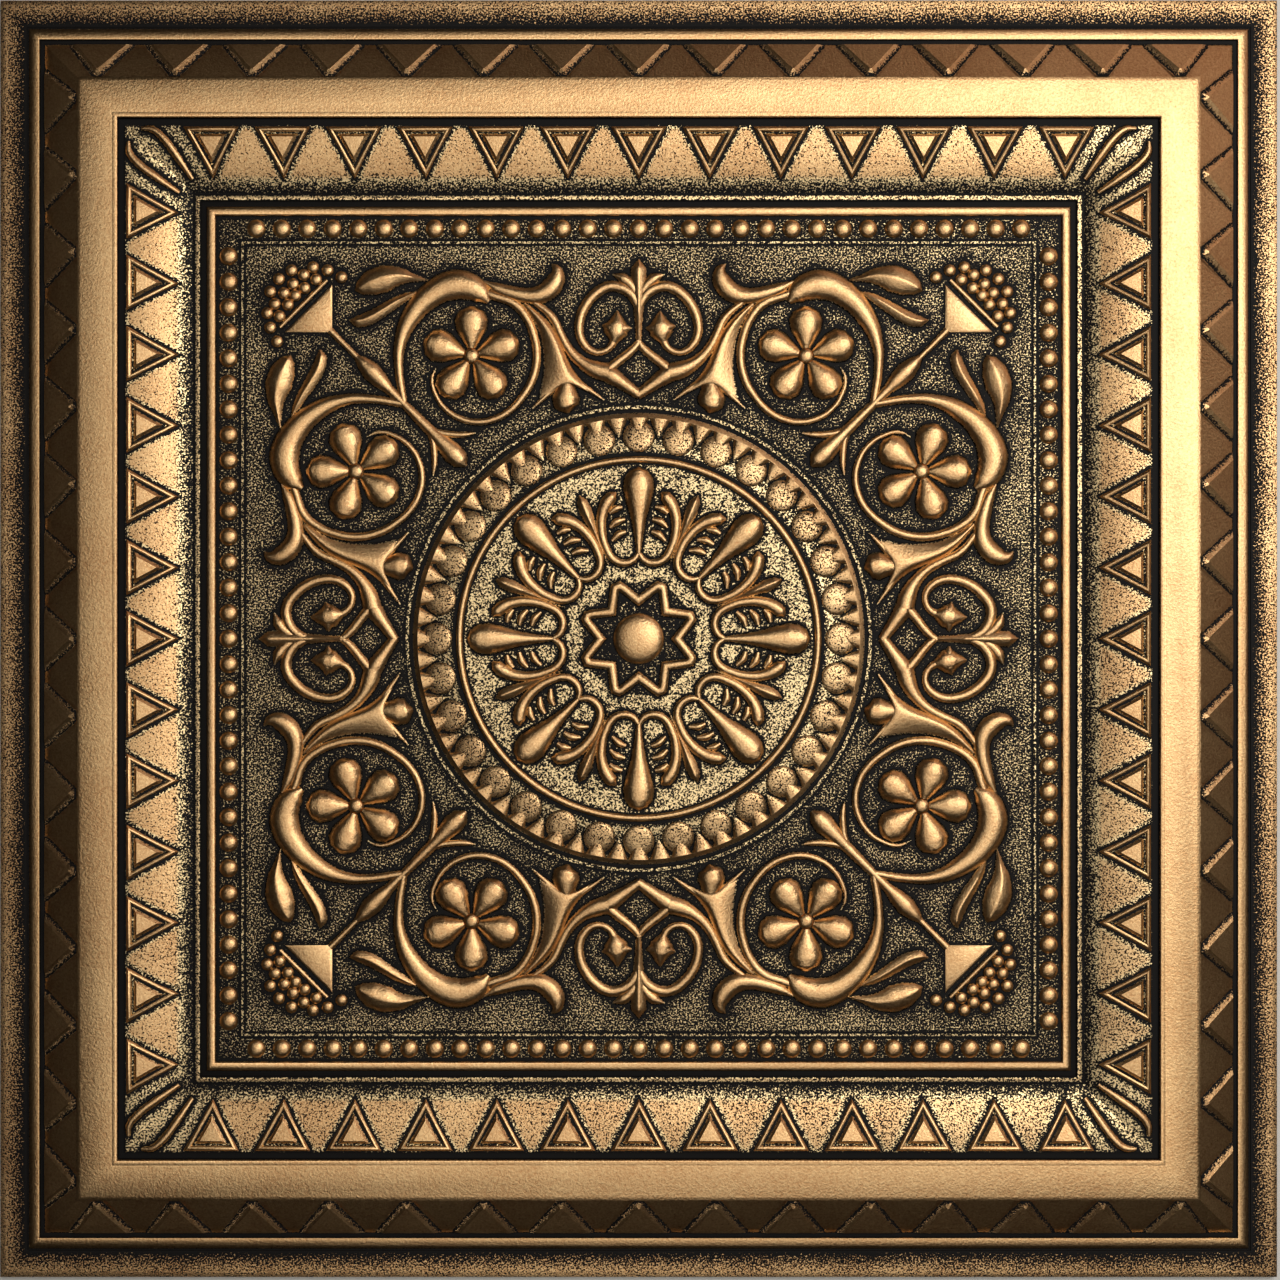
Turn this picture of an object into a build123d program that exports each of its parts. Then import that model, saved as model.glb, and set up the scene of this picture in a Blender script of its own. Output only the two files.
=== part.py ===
"""Square foam ceiling tile, pressed in one piece, lying on its back with the relief upwards."""
import math
import os

from build123d import *

# The tile lies on its glue face at z = 0. Its middle is the origin, and every length is in millimetres.

# Overall size, and the heights of the three main levels above the glue face.
tile_side = 500.0
rim_height = 4.0
field_height = 4.8
frame_height = 12.0

# Widths of the frame's mouldings, in order from the tile's edge inwards.
rim_width = 10.4
outer_groove_width = 1.0
outer_bead_width = 3.4
foot_groove_width = 2.6
flank_run = 14.7
band_width = 15.8
band_groove_width = 2.8
ovolo_width = 25.1
fillet_width = 1.8
deep_groove_width = 3.6
inner_bead_width = 3.4
pearl_channel_width = 10.0
field_line_width = 1.2

# Rises and depths of those mouldings.
foot_groove_depth = 0.6
outer_bead_rise = 1.6
band_groove_depth = 2.2
ovolo_step = 1.0
ovolo_drop = 6.0
fillet_rise = 0.8
deep_groove_depth = 0.6
inner_bead_rise = 1.6
field_line_rise = 0.5

# Hollow behind the raised frame, where the pressed sheet keeps about its own thickness.
back_margin = 24.0
back_hollow_width = 44.0
back_roof_offset = 9.0
back_roof_width = 12.0
foam_over_roof = 4.8

# Dogtooth on the flank.
tooth_count = 15
tooth_base = 26.5
tooth_rise = 1.2
tooth_corner_gap = 7.5

# Triangles on the ovolo, each a flat plate with a raised border and a raised middle.
triangle_count = 13
triangle_base = 21.6
triangle_length = 19.4
triangle_setback = 0.6
triangle_border = 2.0
triangle_groove = 1.4
triangle_floor_rise = 0.4
triangle_border_rise = 0.9
triangle_corner_gap = 19.5

# Pearls in the channel round the field, each a point of a few flat sides.
pearl_count = 31
pearl_diameter = 7.4
pearl_rise = 2.8
pearl_corner_gap = 10.8
pearl_sides = 6

# Medallion: widths in order from its middle outwards, then the heights of its levels.
dome_radius = 10.0
disc_radius = 68.4
thin_ring_width = 2.8
ring_groove_width = 1.6
egg_ring_width = 13.6
moat_width = 3.2
outline_width = 1.8
dome_rise = 3.4
disc_rise = 3.8
thin_ring_rise = 1.3
thin_ring_bevel = 0.8
ring_groove_depth = 0.4
egg_ring_drop = 2.6
outline_rise = 0.6
outline_bevel = 0.4

# Eggs and darts round the medallion.
egg_count = 32
egg_diameter = 11.5
egg_sides = 8
egg_setback = 0.9
egg_rise = 1.0
darts_per_egg = 2
dart_rim = 1.2
dart_length = 7.0
dart_base = 8.2
dart_point_setback = 1.0
dart_rise = 2.2

# Clubs on the disc, and the star round the dome.
club_count = 8
club_sides = 8
club_length = 33.0
club_tip_gap = 1.8
club_neck_radius = 1.1
club_head_radius = 6.0
club_head_rise = 2.9
club_head_length = 7.0
club_nose_radius = 3.6
club_nose_length = 2.2
star_points = 8
star_tip_radius = 23.2
star_notch_radius = 14.8
star_line_width = 2.2
star_rise = 1.0

# Strokes of the relief are lines of knots (x, y, half-width). Leaves are a start, a broadest place, an end and
# the half-width at the broadest place. Each rises to a crest, the higher the broader it is, but never to the
# crest limit, and its foot spreads a little past the half-width.
crest_limit = 5.0
foot_spread = 1.2

# Loops at both sides of each club, and the slim leaf between two clubs, drawn for the club along +Y.
loop_knots = [
    (0.2, 33, 1), (6, 29.5, 1.4), (11.5, 33, 1.5), (14.5, 42, 1.8), (14, 48.7, 2), (9.3, 56.4, 1.5),
]
slim_leaf = [(0, 31), (0, 53.5), (0, 60.4), 2.6]

# Scrollwork, drawn for the field's eighth that lies left of the middle of its +Y side, on a field of this
# half-width.
drawn_field_half = 154.2
scroll_knots = [
    (-92, 91.5, 1.4), (-93.5, 109, 1.8), (-88, 127, 3.6), (-79, 136, 5.4), (-69, 138.2, 5.8),
    (-58.7, 131.6, 0.8),
]
hook_knots = [(-59, 138, 1), (-43, 134.4, 3), (-34, 137.6, 3.5), (-34, 146.5, 0.4)]
bell_knots = [(-45.4, 131.5, 0.8), (-35.5, 119, 3.1), (-31.5, 103, 5)]
heart_tendril_knots = [(-42, 132.5, 1), (-29, 116, 1.8), (-13, 104.2, 3.2), (0.5, 95.2, 1.8)]
diamond_edge_knots = [(-12.3, 104.8, 2), (0.5, 116.5, 1.3)]
heart_loop_knots = [
    (0, 128.6, 1.2), (-6, 136.8, 2), (-15, 136.4, 2), (-22.6, 126, 1.8), (-21.5, 115, 1.6),
    (-14.5, 112, 1.3), (-9.6, 116.5, 1.7),
]
upper_leaf = [(-81, 140), (-99, 141), (-111, 136), 4.8]
lower_leaf = [(-85.6, 136), (-104, 126), (-113.4, 124.7), 2.8]
bell_bud = [(-28.4, 102), (-28.3, 94), (-27.7, 88.2), 4.7]
heart_bud = [(-9.8, 115.4), (-8.8, 121), (-8.4, 128.4), 5.2]
finial_leaf = [(0, 131.8), (-4, 139.2), (-10.2, 142.5), 2.1]
finial_knots = [(0, 115, 1.2), (0, 143, 2.9), (0, 148.6, 0.4)]

# Flower of that eighth, and the ring that runs clockwise round it, curls in after this share of its way and
# is this share of its half-width at its end.
flower_x = -65.4
flower_y = 110.5
petal_count = 5
petal_start = 4.6
petal_broadest = 13.0
petal_end = 19.2
petal_half_width = 5.4
boss_radius = 3.3
boss_rise = 2.2
boss_sides = 6
ring_radius = 25.7
ring_curl = 11.0
ring_half_width = 1.6
ring_start = 72.0
ring_turn = 235.0
ring_straights = 8
ring_round_share = 2 / 3
ring_end_share = 0.5

# Thistle on the diagonal, drawn along +X: its stalk, its bud, and the bar and cup under its berries.
stalk_knots = [(170.6, 0, 1.4), (155, 0, 1.4)]
thistle_bud_knots = [(156, 0, 1.2), (147, 0, 3.3), (130, 0, 1.7), (107, 0, 3.5), (95, 0, 0.4)]
thistle_bar_knots = [(185.3, -13, 1), (185.3, 13, 1)]
cup_tip = 169.4
cup_top = 182.4
cup_rise = 1.5

# Ridge that turns the corner of the ovolo, left of the middle of the +Y side, drawn for an ovolo of this
# half-width.
drawn_ovolo_outer = 199.3
tongue_knots = [(-193.8, 198.5, 0.6), (-188, 198.4, 1), (-181.5, 191.5, 1.5), (-174.6, 180, 0.9)]

# How far an added ornament reaches down into the foam that carries it, and how far a pointed one does.
root_depth = 1.0
sunk_depth = 0.3

# Half-widths of the square rings where one moulding meets the next.
half_side = tile_side / 2
rim_inner = half_side - rim_width
outer_bead_outer = rim_inner - outer_groove_width
outer_bead_inner = outer_bead_outer - outer_bead_width
flank_foot = outer_bead_inner - foot_groove_width
band_outer = flank_foot - flank_run
band_inner = band_outer - band_width
ovolo_outer = band_inner - band_groove_width
ovolo_inner = ovolo_outer - ovolo_width
fillet_inner = ovolo_inner - fillet_width
inner_bead_outer = fillet_inner - deep_groove_width
inner_bead_inner = inner_bead_outer - inner_bead_width
channel_inner = inner_bead_inner - pearl_channel_width
field_half = channel_inner - field_line_width

# The scrollwork and the tongues are drawn once and follow the size of what carries them.
field_scale = field_half / drawn_field_half
ovolo_scale = ovolo_outer / drawn_ovolo_outer

# Heights of the levels between the mouldings.
foot_groove_height = rim_height - foot_groove_depth
band_groove_height = frame_height - band_groove_depth
ovolo_top = frame_height - ovolo_step
fillet_height = field_height + fillet_rise
deep_groove_height = field_height - deep_groove_depth
field_line_height = field_height + field_line_rise

# The ovolo is a circular arc that starts level below the band and turns down towards the field.
ovolo_radius = (ovolo_width**2 + ovolo_drop**2) / (2 * ovolo_drop)
ovolo_turn = math.asin(ovolo_width / ovolo_radius)

# Radii and heights of the medallion's rings.
thin_ring_outer = disc_radius + thin_ring_width
egg_ring_inner = thin_ring_outer + ring_groove_width
egg_ring_outer = egg_ring_inner + egg_ring_width
outline_inner = egg_ring_outer + moat_width
outline_outer = outline_inner + outline_width
disc_height = field_height + disc_rise
ring_groove_height = disc_height - ring_groove_depth
egg_ring_foot = disc_height - egg_ring_drop


def crown(start, end, top):
    """Arc from start to end that peaks midway between them at the given height."""
    return ThreePointArc(start, ((start[0] + end[0]) / 2, top), end)


def falling_arc(start, radius, turn):
    """Arc that leaves start level, heading to lower x, and bends down through the given turn."""
    middle, end = [
        (start[0] - radius * math.sin(angle), start[1] - radius * (1 - math.cos(angle)))
        for angle in (turn / 2, turn)
    ]
    return ThreePointArc(start, middle, end), end


def half_section():
    """Section of the bare tile from its middle to its edge, with the hollow behind the frame."""
    hollow_outer = half_side - back_margin
    hollow_inner = hollow_outer - back_hollow_width
    roof_outer = hollow_outer - back_roof_offset
    roof_inner = roof_outer - back_roof_width
    roof_height = frame_height - foam_over_roof
    back_and_rim = Polyline(
        (0, field_height),
        (0, 0),
        (hollow_inner, 0),
        (roof_inner, roof_height),
        (roof_outer, roof_height),
        (hollow_outer, 0),
        (half_side, 0),
        (half_side, rim_height),
        (rim_inner, rim_height),
        (rim_inner, foot_groove_height),
        (outer_bead_outer, foot_groove_height),
    )
    outer_bead = crown(
        (outer_bead_outer, foot_groove_height),
        (outer_bead_inner, foot_groove_height),
        foot_groove_height + outer_bead_rise,
    )
    raised_frame = Polyline(
        (outer_bead_inner, foot_groove_height),
        (flank_foot, foot_groove_height),
        (band_outer, frame_height),
        (band_inner, frame_height),
        (band_inner, band_groove_height),
        (ovolo_outer, band_groove_height),
        (ovolo_outer, ovolo_top),
    )
    ovolo, ovolo_end = falling_arc((ovolo_outer, ovolo_top), ovolo_radius, ovolo_turn)
    grooves = Polyline(
        ovolo_end,
        (ovolo_inner, fillet_height),
        (fillet_inner, fillet_height),
        (fillet_inner, deep_groove_height),
        (inner_bead_outer, deep_groove_height),
        (inner_bead_outer, field_height),
    )
    inner_bead = crown(
        (inner_bead_outer, field_height),
        (inner_bead_inner, field_height),
        field_height + inner_bead_rise,
    )
    field = Polyline(
        (inner_bead_inner, field_height),
        (channel_inner, field_height),
        (channel_inner, field_line_height),
        (field_half, field_line_height),
        (field_half, field_height),
        (0, field_height),
    )
    return make_face([back_and_rim, outer_bead, raised_frame, ovolo, grooves, inner_bead, field])


def round_the_middle(shape, count):
    """Copies of the shape turned about the tile's upright axis, evenly spaced."""
    return [Rot(0, 0, 360 / count * index) * shape for index in range(count)]


def bare_quarter():
    """The bare tile's +X quarter: one side's bar, cut along the two diagonals for the mitres."""
    side_bar = extrude(Plane.XZ * half_section(), half_side, both=True)
    quarter_plan = Polyline((0, 0), (tile_side, -tile_side), (tile_side, tile_side), close=True)
    return side_bar & extrude(make_face(quarter_plan), tile_side)


def prism(points):
    """Upright prism over a plan outline, from the glue face to the top of the frame."""
    return extrude(make_face(Polyline(*points, close=True)), frame_height)


def bar(points, half_length):
    """Level bar along Y whose section in X and Z is the given outline."""
    return extrude(Plane.XZ * make_face(Polyline(*points, close=True)), half_length, both=True)


def side_row(shape, count, pitch):
    """Copies of the shape in a centred row along the +X side."""
    return [Pos(0, (index - (count - 1) / 2) * pitch, 0) * shape for index in range(count)]


def dogtooth():
    """Wedge teeth on the flank: broad at the foot groove, each running up to a point at the band."""
    plan = [(flank_foot, -tooth_base / 2), (flank_foot, tooth_base / 2), (band_outer, 0)]
    section = [
        (flank_foot, foot_groove_height - root_depth),
        (flank_foot, foot_groove_height + tooth_rise),
        (band_outer, frame_height),
        (band_outer, frame_height - root_depth),
    ]
    tooth = prism(plan) & bar(section, tooth_base)
    return side_row(tooth, tooth_count, 2 * (flank_foot - tooth_corner_gap) / tooth_count)


def ovolo_height(reach):
    """Height of the ovolo at this half-width."""
    run = min(max(ovolo_outer - reach, 0), ovolo_width)
    return ovolo_top - ovolo_radius + math.sqrt(ovolo_radius**2 - run**2)


def triangle_top(reach, rise):
    """Height of a triangle's flat top, the rise above the ovolo at its base and half of that midway."""
    base = ovolo_outer - triangle_setback
    middle = base - triangle_length / 2
    start = ovolo_height(base) + rise
    fall = (start - ovolo_height(middle) - rise / 2) / (base - middle)
    return start - fall * (base - reach)


def triangle_slab(rise):
    """Slab from the roots of one triangle to its flat top."""
    base = ovolo_outer - triangle_setback
    apex = base - triangle_length
    section = [
        (base, triangle_top(base, rise)),
        (apex, triangle_top(apex, rise)),
        (apex, ovolo_height(apex) - root_depth),
        (base, ovolo_height(base) - root_depth),
    ]
    return bar(section, triangle_base)


def pointed(plan, point):
    """Solid of flat faces that run from a plan to one point."""
    return loft([make_face(Polyline(*plan, close=True)), Vertex(*point)], ruled=True)


def triangle_plan(inset):
    """Plan of one ovolo triangle, base outwards, with its three edges moved in by the inset."""
    half_base = triangle_base / 2
    slant = math.hypot(half_base, triangle_length)
    base = ovolo_outer - triangle_setback
    apex = base - triangle_length + inset * slant / half_base
    half_width = (base - inset - apex) * half_base / triangle_length
    return [(base - inset, -half_width), (base - inset, half_width), (apex, 0)]


def ovolo_triangles():
    """Flat triangles on the ovolo, each with a raised border and a raised middle."""
    border = prism(triangle_plan(0)) - prism(triangle_plan(triangle_border))
    floor = prism(triangle_plan(0)) & triangle_slab(triangle_floor_rise)
    middle_plan = triangle_plan(triangle_border + triangle_groove)
    middle_reach = sum(x for x, y in middle_plan) / len(middle_plan)
    middle = pointed(
        [(x, y, triangle_top(x, triangle_floor_rise) - sunk_depth) for x, y in middle_plan],
        (middle_reach, 0, triangle_top(middle_reach, triangle_border_rise)),
    )
    triangle = floor.fuse(border & triangle_slab(triangle_border_rise), middle)
    return side_row(triangle, triangle_count, 2 * (ovolo_outer - triangle_corner_gap) / triangle_count)


def few_sided(section, sides):
    """Solid of flat faces that follows a turned form: its half section in X and Z, carried round Z."""
    reach = max(radius for radius, height in section)
    low = min(height for radius, height in section)
    high = max(height for radius, height in section)
    half_side_length = reach * math.tan(math.pi / sides)
    corners = [(0, 0), (reach, -half_side_length), (reach, half_side_length)]
    wedge = Pos(0, 0, low) * extrude(make_face(Polyline(*corners, close=True)), high - low)
    first, *others = round_the_middle(bar(section, reach) & wedge, sides)
    return first.fuse(*others)


def few_sided_plan(radius, sides):
    """Corners of an even polygon, sunk a little under the ground that it stands on."""
    turns = [2 * math.pi * side / sides for side in range(sides)]
    return [(radius * math.cos(turn), radius * math.sin(turn), -sunk_depth) for turn in turns]


def pearls():
    """Pearls in a row along the channel."""
    row_line = (inner_bead_inner + channel_inner) / 2
    plan = few_sided_plan(pearl_diameter / 2, pearl_sides)
    pearl = Pos(row_line, 0, field_height) * pointed(plan, (0, 0, pearl_rise))
    return side_row(pearl, pearl_count, 2 * (row_line - pearl_corner_gap) / (pearl_count - 1))


def ridge(knots, ground_at):
    """Pressed stroke with a sharp crest, lofted over a line of knots that stand on the ground."""
    sections = []
    for index, (x, y, half_width) in enumerate(knots):
        before = knots[max(index - 1, 0)]
        after = knots[min(index + 1, len(knots) - 1)]
        ahead = Vector(after[0] - before[0], after[1] - before[1]).normalized()
        side = Vector(-ahead.Y, ahead.X) * half_width * foot_spread
        foot = Vector(x, y, ground_at(x, y))
        crest = foot + Vector(0, 0, crest_limit * (1 - math.exp(-half_width / crest_limit)))
        root = foot - Vector(0, 0, root_depth)
        outline = Polyline(root + side, foot + side, crest, foot - side, root - side, close=True)
        sections.append(make_face(outline))
    return loft(sections, ruled=True)


def on_field(x, y):
    """Ground of the scrollwork."""
    return field_height


def on_disc(x, y):
    """Ground of the loops and slim leaves."""
    return disc_height


def on_ovolo(x, y):
    """Ground of the tongues."""
    return ovolo_height(max(abs(x), abs(y)))


def scaled(knots, scale, side=1):
    """The knots carried over to the tile's own size, and for side -1 to the other half of the +Y side."""
    return [(x * scale * side, y * scale, half_width * scale) for x, y, half_width in knots]


def leaf_point(leaf, ground, scale=1, side=1):
    """Leaf with one point over its broadest place, scaled and mirrored as strokes are."""
    *places, half_width = leaf
    start, middle, end = [Vector(x * scale * side, y * scale, ground - sunk_depth) for x, y in places]
    ahead = (end - start).normalized()
    out = Vector(-ahead.Y, ahead.X) * half_width * scale * foot_spread
    crest = crest_limit * (1 - math.exp(-half_width * scale / crest_limit))
    return pointed([start, middle + out, end, middle - out], (middle.X, middle.Y, ground + crest))


def ring_knots():
    """Knots of the ring round the flower, whose last part curls in."""
    knots = []
    for index in range(ring_straights + 1):
        share = index / ring_straights
        angle = math.radians(ring_start - ring_turn * share)
        curl = max(0, share - ring_round_share) / (1 - ring_round_share)
        radius = ring_radius - ring_curl * curl**2
        half_width = ring_half_width * (1 - curl * (1 - ring_end_share))
        knots.append((flower_x + radius * math.cos(angle), flower_y + radius * math.sin(angle), half_width))
    return knots


def petals():
    """The flower's petals as leaves."""
    leaves = []
    for index in range(petal_count):
        turn = 2 * math.pi * index / petal_count
        places = [
            (flower_x - reach * math.sin(turn), flower_y + reach * math.cos(turn))
            for reach in (petal_start, petal_broadest, petal_end)
        ]
        leaves.append([*places, petal_half_width])
    return leaves


def bosses():
    """Low points in the middles of a side's two flowers."""
    boss = pointed(few_sided_plan(boss_radius, boss_sides), (0, 0, boss_rise))
    places = [(side * flower_x * field_scale, flower_y * field_scale, field_height) for side in (-1, 1)]
    return [Pos(*place) * boss for place in places]


def scrollwork():
    """Strokes and leaves on one side of the field and on the ends of its ovolo, turned to the +X side."""
    scroll_lines = [scroll_knots, ring_knots(), hook_knots, bell_knots]
    heart_lines = [heart_tendril_knots, diamond_edge_knots, heart_loop_knots]
    half_leaves = [upper_leaf, lower_leaf, bell_bud, heart_bud, finial_leaf, *petals()]
    pieces = [ridge(scaled(finial_knots, field_scale), on_field)]
    for side in (-1, 1):
        for knots in scroll_lines + heart_lines:
            pieces.append(ridge(scaled(knots, field_scale, side), on_field))
        pieces += [leaf_point(leaf, field_height, field_scale, side) for leaf in half_leaves]
        pieces.append(ridge(scaled(tongue_knots, ovolo_scale, side), on_ovolo))
    return [Rot(0, 0, -90) * piece for piece in pieces + bosses()]


def thistle():
    """Thistle without its berries, turned to the corner between the +X and +Y sides."""
    tip = cup_tip * field_scale
    top = cup_top * field_scale
    cup_plan = Polyline((tip, 0), (top, tip - top), (top, top - tip), close=True)
    cup_foot = Pos(0, 0, field_height - root_depth) * make_face(cup_plan)
    lines = (stalk_knots, thistle_bud_knots, thistle_bar_knots)
    strokes = [ridge(scaled(line, field_scale), on_field) for line in lines]
    return [Rot(0, 0, 45) * piece for piece in [extrude(cup_foot, root_depth + cup_rise), *strokes]]


def medallion():
    """Turned body of the medallion: dome, disc, thin ring and outline ring."""
    root = field_height - root_depth
    dome_sphere = (dome_radius**2 + dome_rise**2) / (2 * dome_rise)
    half_turn = math.asin(dome_radius / dome_sphere) / 2
    dome_top = disc_height + dome_rise
    dome_middle = (dome_sphere * math.sin(half_turn), dome_top - dome_sphere * (1 - math.cos(half_turn)))
    section = [
        Polyline((outline_outer, field_height), (outline_outer, root), (0, root), (0, dome_top)),
        ThreePointArc((0, dome_top), dome_middle, (dome_radius, disc_height)),
        Polyline(
            (dome_radius, disc_height),
            (disc_radius, disc_height),
            (disc_radius + thin_ring_bevel, disc_height + thin_ring_rise),
            (thin_ring_outer - thin_ring_bevel, disc_height + thin_ring_rise),
            (thin_ring_outer, ring_groove_height),
            (egg_ring_inner, ring_groove_height),
            (egg_ring_inner, field_height),
            (outline_inner, field_height),
            (outline_inner + outline_bevel, field_height + outline_rise),
            (outline_outer - outline_bevel, field_height + outline_rise),
            (outline_outer, field_height),
        ),
    ]
    return revolve(Plane.XZ * make_face(section), Axis.Z)


def egg_ring_height(radius):
    """Height of the sloping ring that carries the eggs."""
    share = (radius - egg_ring_inner) / egg_ring_width
    return ring_groove_height + (egg_ring_foot - ring_groove_height) * share


def egg_ring():
    """Sloping ring that carries the eggs, with a flat for each dart."""
    root = field_height - root_depth
    section = [
        (thin_ring_outer, root),
        (egg_ring_outer, root),
        (egg_ring_outer, egg_ring_foot),
        (egg_ring_inner, ring_groove_height),
        (thin_ring_outer, ring_groove_height),
    ]
    return few_sided(section, egg_count * darts_per_egg)


def eggs_and_darts():
    """Rounded eggs on the slope of the ring, and darts that point in over them from its outer edge."""
    egg_radius = egg_diameter / 2
    egg_middle = egg_ring_inner + egg_setback + egg_radius
    turns = [2 * math.pi * side / egg_sides for side in range(egg_sides)]
    plan = [(egg_middle + egg_radius * math.cos(turn), egg_radius * math.sin(turn)) for turn in turns]
    slab = [
        (egg_ring_inner, egg_ring_height(egg_ring_inner) + egg_rise),
        (egg_ring_outer, egg_ring_height(egg_ring_outer) + egg_rise),
        (egg_ring_outer, egg_ring_foot - root_depth),
        (egg_ring_inner, egg_ring_foot - root_depth),
    ]
    egg = prism(plan) & bar(slab, egg_radius)
    dart_foot = egg_ring_outer - dart_rim
    dart_corners = [(dart_foot, -dart_base / 2), (dart_foot, dart_base / 2), (dart_foot - dart_length, 0)]
    dart_peak = dart_foot - dart_point_setback
    dart = pointed(
        [(x, y, egg_ring_height(x) - sunk_depth) for x, y in dart_corners],
        (dart_peak, 0, egg_ring_height(dart_peak) + dart_rise),
    )
    return round_the_middle(egg, egg_count) + round_the_middle(dart, egg_count * darts_per_egg)


def clubs():
    """Turned clubs lying outwards on the disc, slim at the neck and full at the head, sunk to their rise."""
    neck = disc_radius - club_tip_gap - club_length
    head = club_length - club_head_length
    section = [
        (0, 0),
        (club_neck_radius, 0),
        (club_head_radius, head),
        (club_nose_radius, club_length - club_nose_length),
        (0, club_length),
    ]
    sink = math.degrees(math.asin((club_head_radius - club_head_rise) / head))
    club = Pos(neck, 0, disc_height) * Rot(0, 90 + sink, 0) * few_sided(section, club_sides)
    bed = Pos(0, 0, disc_height - root_depth) * extrude(Circle(disc_radius), root_depth + frame_height)
    return round_the_middle(club & bed, club_count)


def loops_and_leaves():
    """Loops beside the clubs, and slim leaves halfway between them."""
    loops = [ridge(scaled(loop_knots, 1, side), on_disc) for side in (-1, 1)]
    pieces = [*loops, Rot(0, 0, 180 / club_count) * leaf_point(slim_leaf, disc_height)]
    return [copy for piece in pieces for copy in round_the_middle(piece, club_count)]


def star_face(tip_radius, notch_radius):
    """Face of the star, with a point halfway between each two clubs."""
    step = math.pi / star_points
    corners = [(tip_radius if index % 2 else notch_radius, step * index) for index in range(2 * star_points)]
    points = [(radius * math.cos(turn), radius * math.sin(turn)) for radius, turn in corners]
    return make_face(Polyline(*points, close=True))


def star():
    """Raised outline of a star round the dome."""
    outline = star_face(star_tip_radius, star_notch_radius)
    opening = offset(outline, -star_line_width, kind=Kind.INTERSECTION)
    return Pos(0, 0, disc_height - root_depth) * extrude(outline - opening, root_depth + star_rise)


def ceiling_tile():
    """The whole tile as one solid."""
    quarter = bare_quarter().fuse(*dogtooth(), *ovolo_triangles(), *pearls(), *scrollwork())
    first, *others = round_the_middle(quarter, 4)
    corners = [copy for piece in thistle() for copy in round_the_middle(piece, 4)]
    rosette = medallion().fuse(egg_ring(), *eggs_and_darts(), *clubs(), *loops_and_leaves(), star())
    return first.fuse(*others, rosette, *corners)


os.makedirs("parts", exist_ok=True)
export_step(ceiling_tile(), "parts/ceiling_tile.step")
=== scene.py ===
"""Looks of a square foam ceiling tile: pressed relief in antique gold rubbed over a black ground."""
import math

import bmesh
import bpy
from bpy.props import FloatProperty, FloatVectorProperty, IntProperty, PointerProperty
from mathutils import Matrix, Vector
from mathutils.bvhtree import BVHTree


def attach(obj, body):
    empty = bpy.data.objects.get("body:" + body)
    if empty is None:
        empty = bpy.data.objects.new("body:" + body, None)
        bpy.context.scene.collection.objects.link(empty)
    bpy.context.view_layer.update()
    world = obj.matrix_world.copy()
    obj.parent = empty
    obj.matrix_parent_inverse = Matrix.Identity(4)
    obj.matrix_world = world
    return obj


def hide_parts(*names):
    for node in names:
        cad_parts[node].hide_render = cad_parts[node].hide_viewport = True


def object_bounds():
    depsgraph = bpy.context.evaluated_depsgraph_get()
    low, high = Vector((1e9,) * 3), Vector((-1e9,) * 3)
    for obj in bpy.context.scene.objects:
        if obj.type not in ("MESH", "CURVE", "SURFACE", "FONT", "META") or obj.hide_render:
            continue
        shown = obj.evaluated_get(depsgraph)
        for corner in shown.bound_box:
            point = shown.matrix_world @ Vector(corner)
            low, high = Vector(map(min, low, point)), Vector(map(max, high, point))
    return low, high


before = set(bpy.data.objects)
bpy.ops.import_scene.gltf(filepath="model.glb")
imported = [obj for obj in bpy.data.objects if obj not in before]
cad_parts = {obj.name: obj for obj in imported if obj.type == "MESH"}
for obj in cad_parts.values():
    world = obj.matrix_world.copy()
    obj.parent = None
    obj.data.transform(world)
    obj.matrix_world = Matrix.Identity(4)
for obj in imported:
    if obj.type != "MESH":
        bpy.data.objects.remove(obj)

bl_info = {
    "name": "Foam Ceiling Tile",
    "version": (1, 0, 0),
    "blender": (4, 5, 0),
    "location": "View3D > Sidebar > Ceiling Tile",
    "description": "Models a pressed foam ceiling tile with its antique gold finish and a plain stage",
    "category": "Add Mesh",
}

# Sizes in the lists below are in millimetres, and Blender's are in metres.
MM = 0.001
NODE = "ceiling_tile"
BODY = "root"
CAD_LOW, CAD_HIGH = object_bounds()

# Paint is given by an attribute: 0 leaves the black ground bare and 1 covers it, with specks between.
PAINT_ATTRIBUTE = "gilt"
BARE = -0.3
FULL = 1.4

# Edges of the relief that turn by less than this many degrees are shaded smooth.
RELIEF_ANGLE = 50

# Cells along a side of the field's grid, which holds the thinning of its gold.
FIELD_CELLS = 246

# Half-widths of the square rings where one moulding meets the next, counted from the tile's middle.
RIM_INNER = 239.6
OUTER_BEAD = (238.9, 234.3)
FLANK_FOOT = 232.6
BAND = (217.9, 202.1)
OVOLO = (199.3, 174.2)
FILLET_INNER = 171.3
INNER_BEAD = (169.0, 165.2)
CHANNEL_INNER = 155.4
FIELD_HALF = 154.2

# Heights above the glue face.
FOOT_GROOVE = 3.4
BAND_GROOVE = 9.8
OVOLO_TOP = 11.0
OVOLO_FOOT = 5.0
FILLET_TOP = 5.6
DEEP_GROOVE = 4.2
RING_GROOVE = 8.2
EGG_RING_FOOT = 6.0

# Radii of the medallion's rings.
DISC_RADIUS = 68.4
THIN_RING_OUTER = 71.2
EGG_RING = (72.8, 86.4)
OUTLINE_RING = (89.6, 91.4)

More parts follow.
